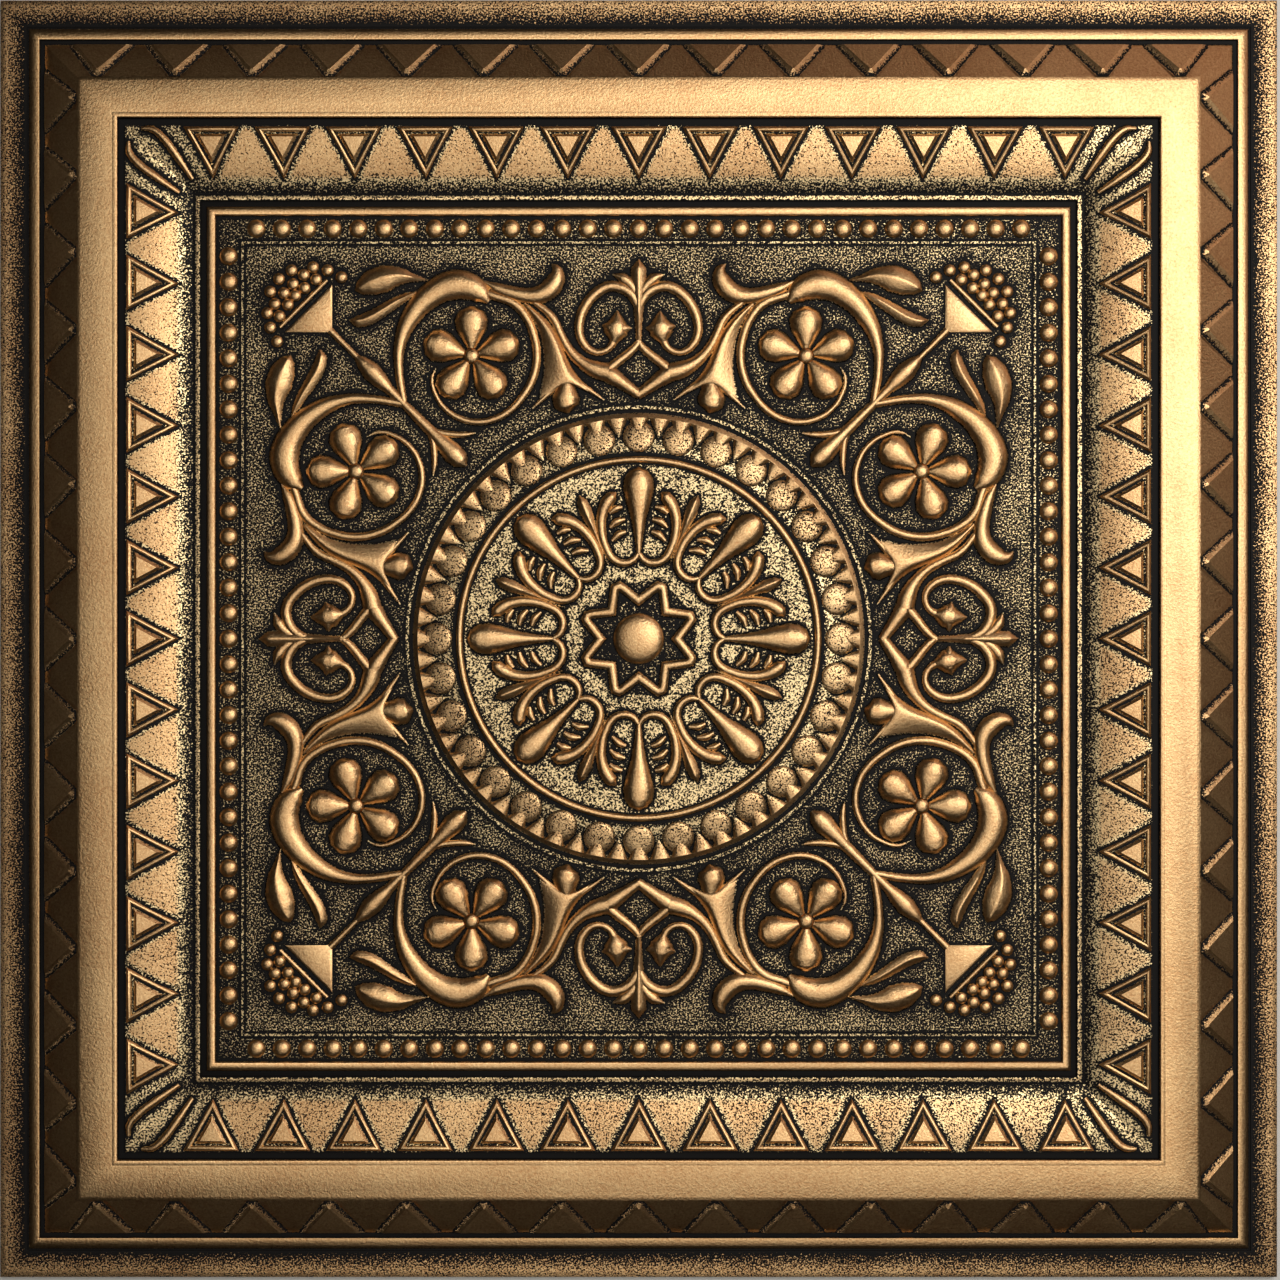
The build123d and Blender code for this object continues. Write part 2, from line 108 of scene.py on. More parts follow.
# Strokes of the relief are lists of points (x, y, half-width). Those of the scrollwork are drawn once,
# for the eighth of the field to the left of the upper middle, and mirrored and turned from there.
SCROLL_STROKES = (
    # Scroll that curls round the flower and ends in a thick head.
    ((-91.7, 91.5, 1.4), (-93.8, 106.5, 1.7), (-93.2, 115.5, 2.2), (-89.0, 125.7, 3.4), (-80.7, 134.7, 4.4),
     (-71.7, 138.4, 5.1), (-65.5, 137.4, 4.6), (-61.2, 134.5, 3.5), (-58.7, 131.6, 1.2)),
    # Ring round the flower, which thins out to its end.
    ((-62.4, 136.5, 1.2), (-57.3, 134.3, 1.7), (-48.8, 131.1, 1.8), (-44.0, 125.7, 1.7),
     (-41.0, 118.6, 1.65),
     (-39.8, 111.4, 1.65), (-41.0, 103.0, 1.6), (-44.6, 95.8, 1.5), (-51.2, 88.6, 1.4), (-57.3, 85.6, 1.4),
     (-63.1, 84.7, 1.35), (-69.2, 85.9, 1.25), (-75.2, 89.5, 1.1), (-79.3, 95.2, 0.95), (-80.8, 101.8, 0.8),
     (-78.8, 106.5, 0.4)),
    # Leaf that turns up in a hook beside the ring.
    ((-60.4, 139.6, 0.6), (-55.7, 137.2, 2.0), (-49.9, 135.3, 2.5), (-43.2, 134.1, 2.8),
     (-38.1, 134.7, 3.3),
     (-34.2, 137.4, 3.5), (-32.1, 141.0, 3.1), (-32.1, 144.3, 2.0), (-34.2, 146.6, 0.4)),
    # Tendril from the foot of the bud.
    ((-82.3, 82.7, 1.0), (-78.0, 80.7, 1.3), (-72.9, 79.9, 1.3), (-68.2, 79.8, 1.2), (-63.7, 80.4, 0.5)),
)
LEAF_STROKES = (
    ((-81.1, 139.9, 0.3), (-87.8, 141.0, 1.6), (-93.6, 141.7, 3.3), (-99.1, 140.8, 4.8),
     (-104.6, 139.0, 4.5),
     (-108.9, 137.0, 2.7), (-111.0, 135.9, 0.4)),
    ((-85.6, 136.1, 0.3), (-90.9, 133.7, 1.6), (-95.6, 131.1, 2.1), (-100.7, 127.9, 2.4),
     (-105.4, 125.3, 2.6),
     (-110.1, 124.1, 2.2), (-113.4, 124.7, 0.4)),
)
# Bell: cross-lines from its narrow top to its mouth, each with left foot, ridge, right foot and rise.
BELL_LINES = (
    ((-46.4, 130.9), (-45.3, 131.6), (-44.4, 132.2), 1.4),
    ((-40.5, 122.7), (-37.3, 124.1), (-34.8, 125.0), 2.8),
    ((-38.5, 116.6), (-32.8, 116.6), (-30.4, 117.6), 3.6),
    ((-37.7, 108.6), (-30.3, 108.6), (-27.4, 109.1), 4.4),
    ((-38.0, 101.5), (-28.6, 103.4), (-23.8, 102.6), 4.8),
    ((-41.3, 90.6), (-28.3, 100.4), (-13.9, 93.6), 4.2),
)
BELL_STROKES = (
    ((-29.0, 101.6, 1.5), (-35.8, 95.4, 1.2), (-41.6, 90.0, 0.5)),
    ((-27.6, 102.0, 1.7), (-22.5, 99.3, 1.4), (-13.4, 93.2, 0.5)),
)
BELL_BUD = ((-28.5, 103.0, 1.2), (-28.3, 98.4, 3.2), (-28.4, 94.2, 4.7), (-28.2, 90.9, 4.2),
            (-27.6, 88.2, 0.8))
HEART_STROKES = (
    # Tendril that swings in to the diamond, and the diamond's two edges.
    ((-42.0, 132.5, 1.0), (-33.8, 125.7, 1.6), (-30.3, 118.6, 1.7), (-27.3, 113.2, 1.8),
     (-22.5, 108.3, 2.2),
     (-16.6, 105.2, 3.1), (-11.9, 104.0, 3.3)),
    ((-14.7, 105.2, 2.3), (-10.8, 103.0, 3.1), (-5.1, 99.1, 2.3), (0.5, 95.2, 1.8)),
    ((-12.3, 104.8, 2.0), (-8.8, 107.8, 1.8), (-2.2, 113.2, 1.6), (0.5, 116.5, 1.3)),
    # Loop of the heart, and the three-pointed bud that it ends in.
    ((-0.2, 128.6, 1.2), (-1.2, 132.0, 1.8), (-3.7, 135.4, 2.0), (-8.2, 137.6, 2.0), (-12.2, 137.6, 2.0),
     (-16.7, 135.0, 2.0), (-21.2, 129.4, 1.9), (-23.1, 123.9, 1.8), (-23.1, 119.0, 1.7),
     (-21.2, 115.0, 1.6),
     (-18.2, 112.5, 1.4), (-15.2, 112.0, 1.3), (-11.7, 113.5, 1.3), (-9.7, 116.5, 1.6), (-9.0, 118.9, 2.0)),
    ((-9.8, 115.4, 1.2), (-9.0, 119.4, 4.0), (-8.6, 122.6, 3.9), (-8.4, 125.4, 2.2), (-8.4, 128.4, 0.4)),
    ((-9.8, 120.8, 3.0), (-6.8, 121.2, 3.0), (-2.6, 121.4, 0.4)),
    ((-8.0, 120.8, 3.0), (-11.0, 121.6, 3.0), (-14.4, 122.4, 0.4)),
    # Side leaf of the finial.
    ((-0.2, 131.8, 0.8), (-2.3, 137.2, 1.8), (-6.1, 140.8, 2.1), (-10.2, 142.5, 0.4)),
)
HEART_STEM = ((0, 115.0, 1.2), (0, 123.2, 1.5), (0, 129.4, 2.0), (0, 133.7, 2.5), (0, 139.2, 2.8),
              (0, 144.7, 2.9),
              (0, 148.6, 0.4))
FLOWER_CENTRE = (-65.4, 110.5)
PETAL_ANGLES = (90, 18, -54, -126, 162)
PETAL = ((3.0, 1.6), (6.2, 3.2), (10.2, 5.0), (14.2, 5.6), (17.4, 4.4), (19.3, 1.6))
FLOWER_BOSS = 3.3

# Thistle on the diagonal: distances along it from the tile's middle, with half-widths.
THISTLE_STALK = ((170.6, 1.4), (162.8, 1.2), (154.6, 1.2))
THISTLE_BUD = ((156.3, 1.0), (152.4, 2.5), (147.8, 3.4), (142.6, 2.9), (138.0, 1.9), (130.1, 1.6),
               (121.8, 1.9),
               (114.5, 2.1), (107.6, 3.0), (102.6, 3.7), (98.4, 3.1), (95.4, 0.8))
THISTLE_BAR = ((-121.8, 140.2, 0.9), (-131.0, 131.0, 1.0), (-140.2, 121.8, 0.9))
THISTLE_CUP = ((-119.8, 138.2), (-138.2, 119.8), (-119.8, 119.8))
BERRY_RADIUS = 2.6
BERRIES = ((-135.7, 144.0), (-127.3, 145.2), (-121.6, 144.0), (-116.2, 141.3), (-130.9, 142.2),
           (-126.1, 140.4),
           (-135.1, 138.6), (-130.6, 137.1))
DIAGONAL_BERRIES = (140.6, 134.2)

# Palmettes on the disc, drawn for the one that points up.
CLUB = ((0, 33.3, 1.0), (0, 38.0, 1.5), (0, 46.0, 2.6), (0, 54.0, 4.4), (0, 58.5, 5.2), (0, 62.5, 4.8),
        (0, 65.4, 3.2),
        (0, 66.8, 0.6))
LOOP = ((0.2, 33.1, 1.0), (2.0, 30.7, 1.3), (6.0, 29.5, 1.45), (10.0, 31.1, 1.5), (12.9, 35.9, 1.6),
        (14.5, 42.3, 1.8),
        (14.2, 48.4, 2.0), (12.4, 52.8, 2.4), (10.4, 55.4, 2.2), (8.8, 56.9, 0.6))
RUNGS = (((5.0, 41.7, 0.9), (7.8, 40.6, 1.45), (10.4, 38.0, 0.8)),
         ((5.3, 46.5, 0.9), (8.6, 45.5, 1.5), (11.2, 43.2, 0.8)),
         ((6.4, 51.3, 0.9), (9.0, 50.6, 1.45), (11.3, 48.8, 0.8)))
SLIM_LEAF = ((31.2, 0.5), (40.0, 0.8), (47.0, 1.6), (53.5, 2.4), (57.5, 2.1), (60.4, 0.5))
PALMETTE_COUNT = 8

# Star: radii of its blunt tips and of its notches, with half the angle that a tip takes.
STAR_TIP = 21.9
STAR_SHOULDER = 20.9
STAR_TIP_ANGLE = 4.6
STAR_NOTCH = 14.8
STAR_LINE = 1.7
DOME_RADIUS = 10.0
DOME_RISE = 3.4

# Ridges that turn the corner of the ovolo.
TONGUE = ((-193.0, 198.0, 0.8), (-188.9, 197.7, 1.4), (-184.5, 194.2, 1.55), (-179.6, 187.6, 1.5),
          (-173.9, 179.0, 0.9))

# Cross-sections of a stroke, as shares of its half-width: a round vine, and a leaf with a keel.
VINE_SECTION = ((-1.25, -0.35), (-1.25, 0), (-1, 0.26), (-0.8, 0.55), (-0.5, 0.84), (-0.2, 0.98), (0, 1),
                (0.2, 0.98),
                (0.5, 0.84), (0.8, 0.55), (1, 0.26), (1.25, 0), (1.25, -0.35))
LEAF_SECTION = ((-1.2, -0.35), (-1.2, 0), (-1, 0.2), (-0.75, 0.46), (-0.45, 0.68), (-0.18, 0.88), (0, 1),
                (0.18, 0.88),
                (0.45, 0.68), (0.75, 0.46), (1, 0.2), (1.2, 0), (1.2, -0.35))


def linear(text):
    """Linear colour of an sRGB hex value."""
    shares = [int(text[index:index + 2], 16) / 255 for index in (1, 3, 5)]
    return tuple(share / 12.92 if share <= 0.04045 else ((share + 0.055) / 1.055) ** 2.4 for share in shares)


def length(label, words, size):
    """Property for a length, whose default is given in millimetres."""
    return FloatProperty(name=label, description=words, default=size * MM, min=0, unit="LENGTH", precision=5)


def colour(label, words, text):
    """Property for a colour, whose default is an sRGB hex value."""
    return FloatVectorProperty(
        name=label, description=words, default=linear(text), subtype="COLOR", min=0, max=1)


class TileSizes(bpy.types.PropertyGroup):
    """Sizes of the tile that a user would change."""

    side: length("Side", "Edge of the square tile", (CAD_HIGH[0] - CAD_LOW[0]) / MM)
    frame_height: length("Frame height", "Top of the raised frame", (CAD_HIGH[2] - CAD_LOW[2]) / MM)
    rim_height: length("Rim height", "Top of the tile's thin outer rim", 4.0)
    field_height: length("Field height", "Level of the field round the medallion", 4.8)
    disc_height: length("Disc height", "Level of the medallion's disc", 8.6)
    relief_depth: length("Relief depth", "Height that even the broadest stroke stays under", 5.0)
    tooth_count: IntProperty(name="Teeth", description="Dogteeth along one side", default=15, min=1)
    triangle_count: IntProperty(
        name="Triangles", description="Ovolo triangles along one side", default=13, min=1)
    pearl_count: IntProperty(name="Pearls", description="Pearls along one side", default=31, min=2)
    egg_count: IntProperty(name="Eggs", description="Eggs round the medallion", default=32, min=3)


class TilePaint(bpy.types.PropertyGroup):
    """Colours of the finish and the sizes of its specks."""

    gold: colour("Gold", "Metallic paint where it lies thick", "#E2BC88")
    bronze: colour("Bronze", "Metallic paint where it lies thin", "#B98A5C")
    pale: colour("Pale gold", "Metallic paint where only specks of it catch", "#EFD4A0")
    black: colour("Black", "Ground coat in the recesses", "#12100F")
    foam: colour("Foam", "Bare pressed foam on the back", "#E9E6DE")
    floor: colour("Floor", "Plain floor that the tile lies on", "#D9D7D2")
    speck: length("Speck", "Width of a gold speck on the black ground", 0.68)
    grain: length("Grain", "Width of the paint's grain", 0.9)
    mottle: length("Mottle", "Width of the paint's cloudy patches", 24)
    cell: length("Foam cell", "Width of a bead of the foam, where it is bare", 3.0)


def add_node(tree, kind, sockets, **settings):
    """New node with its settings. A socket takes a value, an output, or a node for its first output."""
    node = tree.nodes.new(kind)
    for name, value in settings.items():
        setattr(node, name, value)
    for socket, value in sockets.items():
        if isinstance(value, bpy.types.Node):
            value = value.outputs[0]
        if isinstance(value, bpy.types.NodeSocket):
            tree.links.new(value, node.inputs[socket])
        else:
            node.inputs[socket].default_value = value
    return node


def new_material(name):
    """Material with an empty node tree."""
    material = bpy.data.materials.new(name)
    material.use_nodes = True
    material.node_tree.nodes.clear()
    return material


def opaque(rgb):
    """Colour with full alpha, as a node's colour socket takes it."""
    return (*rgb, 1.0)


def antique_gold(paint):
    """Bronze metal paint rubbed by hand over black: solid and satin on what stands up, thinning to
    ragged specks on the ground, with a fine grain from the pressed foam under it."""
    if "antique_gold" in bpy.data.materials:
        return bpy.data.materials["antique_gold"]
    material = new_material("antique_gold")
    tree = material.node_tree
    place = add_node(tree, "ShaderNodeTexCoord", {}).outputs["Object"]
    gilt = add_node(tree, "ShaderNodeAttribute", {}, attribute_name=PAINT_ATTRIBUTE).outputs["Fac"]
    speck = add_node(tree, "ShaderNodeTexNoise", {
        "Vector": place, "Scale": 1 / paint.speck, "Detail": 2.0, "Roughness": 0.6})
    spread = add_node(tree, "ShaderNodeMapRange", {
        "Value": speck, "From Min": 0.34, "From Max": 0.66})
    mottle = add_node(tree, "ShaderNodeTexNoise", {
        "Vector": place, "Scale": 1 / paint.mottle, "Detail": 3.0})
    patch = add_node(tree, "ShaderNodeMapRange", {"Value": mottle, "To Min": -0.15, "To Max": 0.15})
    dabbed = add_node(tree, "ShaderNodeMath", {0: gilt, 1: patch}, operation="ADD")
    over = add_node(tree, "ShaderNodeMath", {
        0: dabbed, 1: spread}, operation="SUBTRACT")
    cover = add_node(tree, "ShaderNodeMapRange", {
        "Value": over, "From Min": -0.05, "From Max": 0.06})
    grain = add_node(tree, "ShaderNodeTexNoise", {
        "Vector": place, "Scale": 1 / paint.grain, "Detail": 3.0, "Roughness": 0.65})
    tone = add_node(tree, "ShaderNodeMath", {0: mottle, 1: 0.35, 2: grain}, operation="MULTIPLY_ADD")
    thick = add_node(tree, "ShaderNodeMapRange", {"Value": tone, "From Min": 0.45, "From Max": 0.9})
    gold = add_node(tree, "ShaderNodeMix", {
        0: thick, 6: opaque(paint.bronze), 7: opaque(paint.gold)}, data_type="RGBA")
    thin = add_node(tree, "ShaderNodeMapRange", {"Value": gilt, "From Min": 0.7, "From Max": 0.5})
    spot = add_node(tree, "ShaderNodeSeparateXYZ", {
        "Vector": add_node(tree, "ShaderNodeVectorMath", {0: place}, operation="ABSOLUTE")})
    ring = add_node(tree, "ShaderNodeMath", {0: spot.outputs["X"], 1: spot.outputs["Y"]}, operation="MAXIMUM")
    inside = add_node(tree, "ShaderNodeMath", {0: ring, 1: BAND[1] * MM}, operation="LESS_THAN")
    sparse = add_node(tree, "ShaderNodeMath", {
        0: thin, 1: inside}, operation="MULTIPLY")
    flecks = add_node(tree, "ShaderNodeMix", {
        0: sparse, 6: gold.outputs[2], 7: opaque(paint.pale)}, data_type="RGBA")
    coat = add_node(tree, "ShaderNodeMix", {
        0: cover, 6: opaque(paint.black), 7: flecks.outputs[2]}, data_type="RGBA")
    metal = add_node(tree, "ShaderNodeMath", {0: cover, 1: 0.98}, operation="MULTIPLY")
    satin = add_node(tree, "ShaderNodeMapRange", {"Value": grain, "To Min": 0.24, "To Max": 0.36})
    gloss = add_node(tree, "ShaderNodeMix", {0: cover, 2: 0.6, 3: satin})
    coat_height = add_node(tree, "ShaderNodeMath", {0: grain, 1: 0.7}, operation="ADD")
    height = add_node(tree, "ShaderNodeMath", {0: coat_height, 1: cover}, operation="MULTIPLY")
    bump = add_node(tree, "ShaderNodeBump", {
        "Strength": 0.65, "Distance": 0.25 * MM, "Height": height})
    shader = add_node(tree, "ShaderNodeBsdfPrincipled", {
        "Base Color": coat.outputs[2], "Metallic": metal, "Roughness": gloss,
        "Specular IOR Level": 0.12, "Normal": bump})
    add_node(tree, "ShaderNodeOutputMaterial", {"Surface": shader})
    return material


def bare_foam(paint):
    """Pressed polystyrene without paint: chalky off-white, with the flattened beads just showing."""
    material = new_material("bare_foam")
    tree = material.node_tree
    place = add_node(tree, "ShaderNodeTexCoord", {}).outputs["Object"]
    beads = add_node(tree, "ShaderNodeTexVoronoi", {
        "Vector": place, "Scale": 1 / paint.cell}, feature="DISTANCE_TO_EDGE")
    seam = add_node(tree, "ShaderNodeMapRange", {
        "Value": beads, "From Max": 0.12, "To Min": 0.86, "To Max": 1.0})
    shade = add_node(tree, "ShaderNodeMix", {
        0: 1.0, 6: opaque(paint.foam), 7: seam}, data_type="RGBA", blend_type="MULTIPLY")
    bump = add_node(tree, "ShaderNodeBump", {
        "Strength": 0.4, "Distance": 0.2 * MM, "Height": seam})
    shader = add_node(tree, "ShaderNodeBsdfPrincipled", {
        "Base Color": shade.outputs[2], "Roughness": 0.8, "Normal": bump})
    add_node(tree, "ShaderNodeOutputMaterial", {"Surface": shader})
    return material


def studio_floor(paint):
    """Matt painted board, pale and even, with a faint cloudiness."""
    material = new_material("studio_floor")
    tree = material.node_tree
    place = add_node(tree, "ShaderNodeTexCoord", {}).outputs["Object"]
    cloud = add_node(tree, "ShaderNodeTexNoise", {"Vector": place, "Scale": 3.0, "Detail": 4.0})
    share = add_node(tree, "ShaderNodeMapRange", {"Value": cloud, "To Min": 0.96, "To Max": 1.0})
    tint = add_node(tree, "ShaderNodeMix", {
        0: 1.0, 6: opaque(paint.floor), 7: share}, data_type="RGBA", blend_type="MULTIPLY")
    shader = add_node(tree, "ShaderNodeBsdfPrincipled", {"Base Color": tint.outputs[2], "Roughness": 0.85})
    add_node(tree, "ShaderNodeOutputMaterial", {"Surface": shader})
    return material


def select_only(*pieces):
    """Select these objects alone, with the first one active."""
    bpy.ops.object.select_all(action="DESELECT")
    for piece in pieces:
        piece.select_set(True)
    bpy.context.view_layer.objects.active = pieces[0]


def begin(primitive, **settings):
    """New mesh from a primitive, with nothing else selected."""
    bpy.ops.object.select_all(action="DESELECT")
    primitive(**settings)
    return bpy.context.object


def edit(piece, kind="FACE"):
    """Go into edit mode on the piece, with everything selected."""
    select_only(piece)
    bpy.ops.object.mode_set(mode="EDIT")
    bpy.ops.mesh.select_mode(type=kind)
    bpy.ops.mesh.select_all(action="SELECT")


def leave_edit():
    """Go back to object mode."""
    bpy.ops.object.mode_set(mode="OBJECT")


def pick_faces(piece, wanted):
    """Select in edit mode only the faces that the test wants."""
    mesh = bmesh.from_edit_mesh(piece.data)
    for face in mesh.faces:
        face.select_set(wanted(face))
    bmesh.update_edit_mesh(piece.data)


def join(pieces):
    """Join the pieces into the first one."""
    if len(pieces) > 1:
        select_only(*pieces)
        bpy.ops.object.join()
    return pieces[0]


def copy_of(piece):
    """Copy of the piece with a mesh of its own."""
    twin = piece.copy()
    twin.data = piece.data.copy()
    bpy.context.scene.collection.objects.link(twin)
    return twin


def apply_place(piece):
    """Move the piece's place, turn and scale into its mesh."""
    select_only(piece)
    bpy.ops.object.transform_apply(location=True, rotation=True, scale=True)
    return piece


def turned(piece, count):
    """The piece repeated evenly round the tile's middle, joined into one."""
    copies = [piece] + [copy_of(piece) for index in range(count - 1)]
    for index, twin in enumerate(copies):
        twin.rotation_euler.z = 2 * math.pi * index / count
        apply_place(twin)
    return join(copies)


def apply_modifier(piece, kind, **settings):
    """Add a modifier with its settings and apply it."""
    modifier = piece.modifiers.new(kind.lower(), kind)
    for name, value in settings.items():
        setattr(modifier, name, value)
    select_only(piece)
    bpy.ops.object.modifier_apply(modifier=modifier.name)
    return piece


def row(piece, count, pitch):
    """The piece repeated along Y, centred on the tile's middle line."""
    apply_modifier(piece, "ARRAY", count=count, use_relative_offset=False, use_constant_offset=True,
                   constant_offset_displace=(0, pitch * MM, 0))
    piece.location.y -= (count - 1) * pitch * MM / 2
    return apply_place(piece)


def mirrored(piece):
    """The piece with its mirror image across the tile's upright middle line."""
    return apply_modifier(piece, "MIRROR", use_mirror_merge=False)


def face_outwards(piece):
    """Turn all faces of the closed shapes in the piece to the outside."""
    edit(piece)
    bpy.ops.mesh.normals_make_consistent(inside=False)
    leave_edit()


def gild(piece, gilt_at):
    """Store on each vertex how much gold it carries, from its place in millimetres."""
    values = [gilt_at(vertex.co / MM) for vertex in piece.data.vertices]
    layer = piece.data.attributes.new(PAINT_ATTRIBUTE, "FLOAT", "POINT")
    layer.data.foreach_set("value", values)


def rubbed(rise, foot=0.2, depth=0.5):
    """Gold on a raised form by its rise above the ground: rubbing misses the foot of it."""
    return (rise - foot) / depth


def nearest_stop(stops, reach, height):
    """Gold of the nearest stop of a section, each a (reach, height, gold)."""
    return min(stops, key=lambda stop: abs(stop[0] - reach) + abs(stop[1] - height))[2]


def finish_piece(piece, name, context, smooth_angle=35):
    """Name, shade and paint the piece, and let it ride on the tile's one body in place of the plain solid."""
    piece.name = name
    piece.data.name = name
    select_only(piece)
    bpy.ops.object.shade_smooth_by_angle(angle=math.radians(smooth_angle))
    piece.data.materials.clear()
    piece.data.materials.append(antique_gold(context.scene.tile_paint))
    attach(piece, BODY)
    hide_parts(NODE)


def section_curve(points):
    """Closed flat curve that a stroke carries along its line."""
    curve = bpy.data.curves.new("stroke_section", "CURVE")
    spline = curve.splines.new("POLY")
    spline.points.add(len(points) - 1)
    for knot, (across, up) in zip(spline.points, points):
        knot.co = (across, up, 0, 1)
    spline.use_cyclic_u = True
    section = bpy.data.objects.new("stroke_section", curve)
    bpy.context.scene.collection.objects.link(section)
    return section


def strokes(lines, section_points, closed=False, corners="AUTO", steps=5):
    """Mesh of strokes drawn on a ground at height 0, each a line of (x, y, half-width) in millimetres."""
    curve = bpy.data.curves.new("stroke", "CURVE")
    curve.dimensions = "2D"
    curve.resolution_u = steps
    curve.bevel_mode = "OBJECT"
    curve.bevel_object = section_curve(section_points)
    curve.use_fill_caps = True
    for line in lines:
        spline = curve.splines.new("BEZIER")
        spline.bezier_points.add(len(line) - 1)
        spline.use_cyclic_u = closed
        for knot, (x, y, half_width) in zip(spline.bezier_points, line):
            knot.co = (x * MM, y * MM, 0)
            knot.handle_left_type = corners
            knot.handle_right_type = corners
            knot.radius = half_width * MM
    drawn = bpy.data.objects.new("stroke", curve)
    bpy.context.scene.collection.objects.link(drawn)
    section = curve.bevel_object
    select_only(drawn)
    bpy.ops.object.convert(target="MESH")
    drawn = bpy.context.object
    bpy.data.objects.remove(section)
    return drawn


def press(piece, depth):
    """Flatten the relief as a shallow mould does: the higher a form, the more it is held down."""
    for vertex in piece.data.vertices:
        if vertex.co.z > 0:
            vertex.co.z = depth * (1 - math.exp(-vertex.co.z / depth))


def lift(piece, height_at):
    """Raise each vertex by the height of the ground at its place, all in millimetres."""
    for vertex in piece.data.vertices:
        vertex.co.z += height_at(vertex.co / MM) * MM


def half_ball(radius, rise, segments, rings):
    """Low dome standing on the ground at height 0, in millimetres."""
    ball = begin(
        bpy.ops.mesh.primitive_uv_sphere_add, segments=segments, ring_count=2 * rings, radius=radius * MM)
    edit(ball)
    below = -0.15 * radius * MM
    bpy.ops.mesh.bisect(plane_co=(0, 0, below), plane_no=(0, 0, 1), clear_inner=True, use_fill=True)
    leave_edit()
    ball.scale.z = rise / radius
    return apply_place(ball)


def placed(piece, x, y):
    """Copy of the piece moved to a place in millimetres."""
    twin = copy_of(piece)
    twin.location = (x * MM, y * MM, 0)
    return apply_place(twin)


def finish_relief(piece, name, context, height):
    """Lift a piece of relief to the level that it stands on, and finish it."""
    ground = height / MM
    lift(piece, lambda place: ground)
    face_outwards(piece)
    gild(piece, lambda place: rubbed(place.z - ground))
    finish_piece(piece, name, context, RELIEF_ANGLE)


def field_relief(piece, name, context):
    """Press and finish a piece of relief that stands on the field."""
    sizes = context.scene.tile_sizes
    press(piece, sizes.relief_depth)
    finish_relief(piece, name, context, sizes.field_height)


def square_reach(place):
    """Half-width of the square ring that the place lies on."""
    return max(abs(place.x), abs(place.y))


def flank_height(reach, top):
    """Height of the sloping flank outside the band."""
    share = (FLANK_FOOT - reach) / (FLANK_FOOT - BAND[0])
    return FOOT_GROOVE + (top - FOOT_GROOVE) * share


def ovolo_height(reach):
    """Height of the ovolo, an arc that starts level under the band and turns down to the field."""
    width = OVOLO[0] - OVOLO[1]
    drop = OVOLO_TOP - OVOLO_FOOT
    radius = (width**2 + drop**2) / (2 * drop)
    run = min(max(OVOLO[0] - reach, 0), width)
    return OVOLO_TOP - radius + math.sqrt(radius**2 - run**2)


def egg_ring_height(radius):
    """Height of the sloping ring that carries the eggs."""
    share = (radius - EGG_RING[0]) / (EGG_RING[1] - EGG_RING[0])
    return RING_GROOVE + (EGG_RING_FOOT - RING_GROOVE) * share


def halo(place, trees, top, clear, reach):
    """Gold on the ground: none close to a raised form, more and more away from it."""
    far = reach * 5
    spot = place * MM
    found = [tree.find_nearest(spot, far * MM)[3] for tree in trees]
    gap = min([distance / MM for distance in found if distance is not None], default=far)
    return top * (1 - math.exp(-max(gap - clear, 0) / reach)) - (0.25 if gap < clear else 0)


def trees_of(names, context):
    """Search trees of the named pieces' faces."""
    depsgraph = context.evaluated_depsgraph_get()
    return [BVHTree.FromObject(bpy.data.objects[name], depsgraph) for name in names]


def bead(outer, inner, foot, rise, steps=10):
    """Stops of a half-round bead from its outer to its inner foot, gold on top and bare at both feet."""
    middle = (outer + inner) / 2
    half = (outer - inner) / 2
    turns = [math.pi * index / steps for index in range(steps + 1)]
    return [
        (middle + half * math.cos(turn), foot + rise * math.sin(turn), BARE + 3.0 * math.sin(turn))
        for turn in turns
    ]


def step_through(stops):
    """Inset the selected face from stop to stop of a section."""
    for (reach, height, gold), (next_reach, next_height, next_gold) in zip(stops, stops[1:]):
        bpy.ops.mesh.inset(thickness=abs(reach - next_reach) * MM, depth=(next_height - height) * MM)


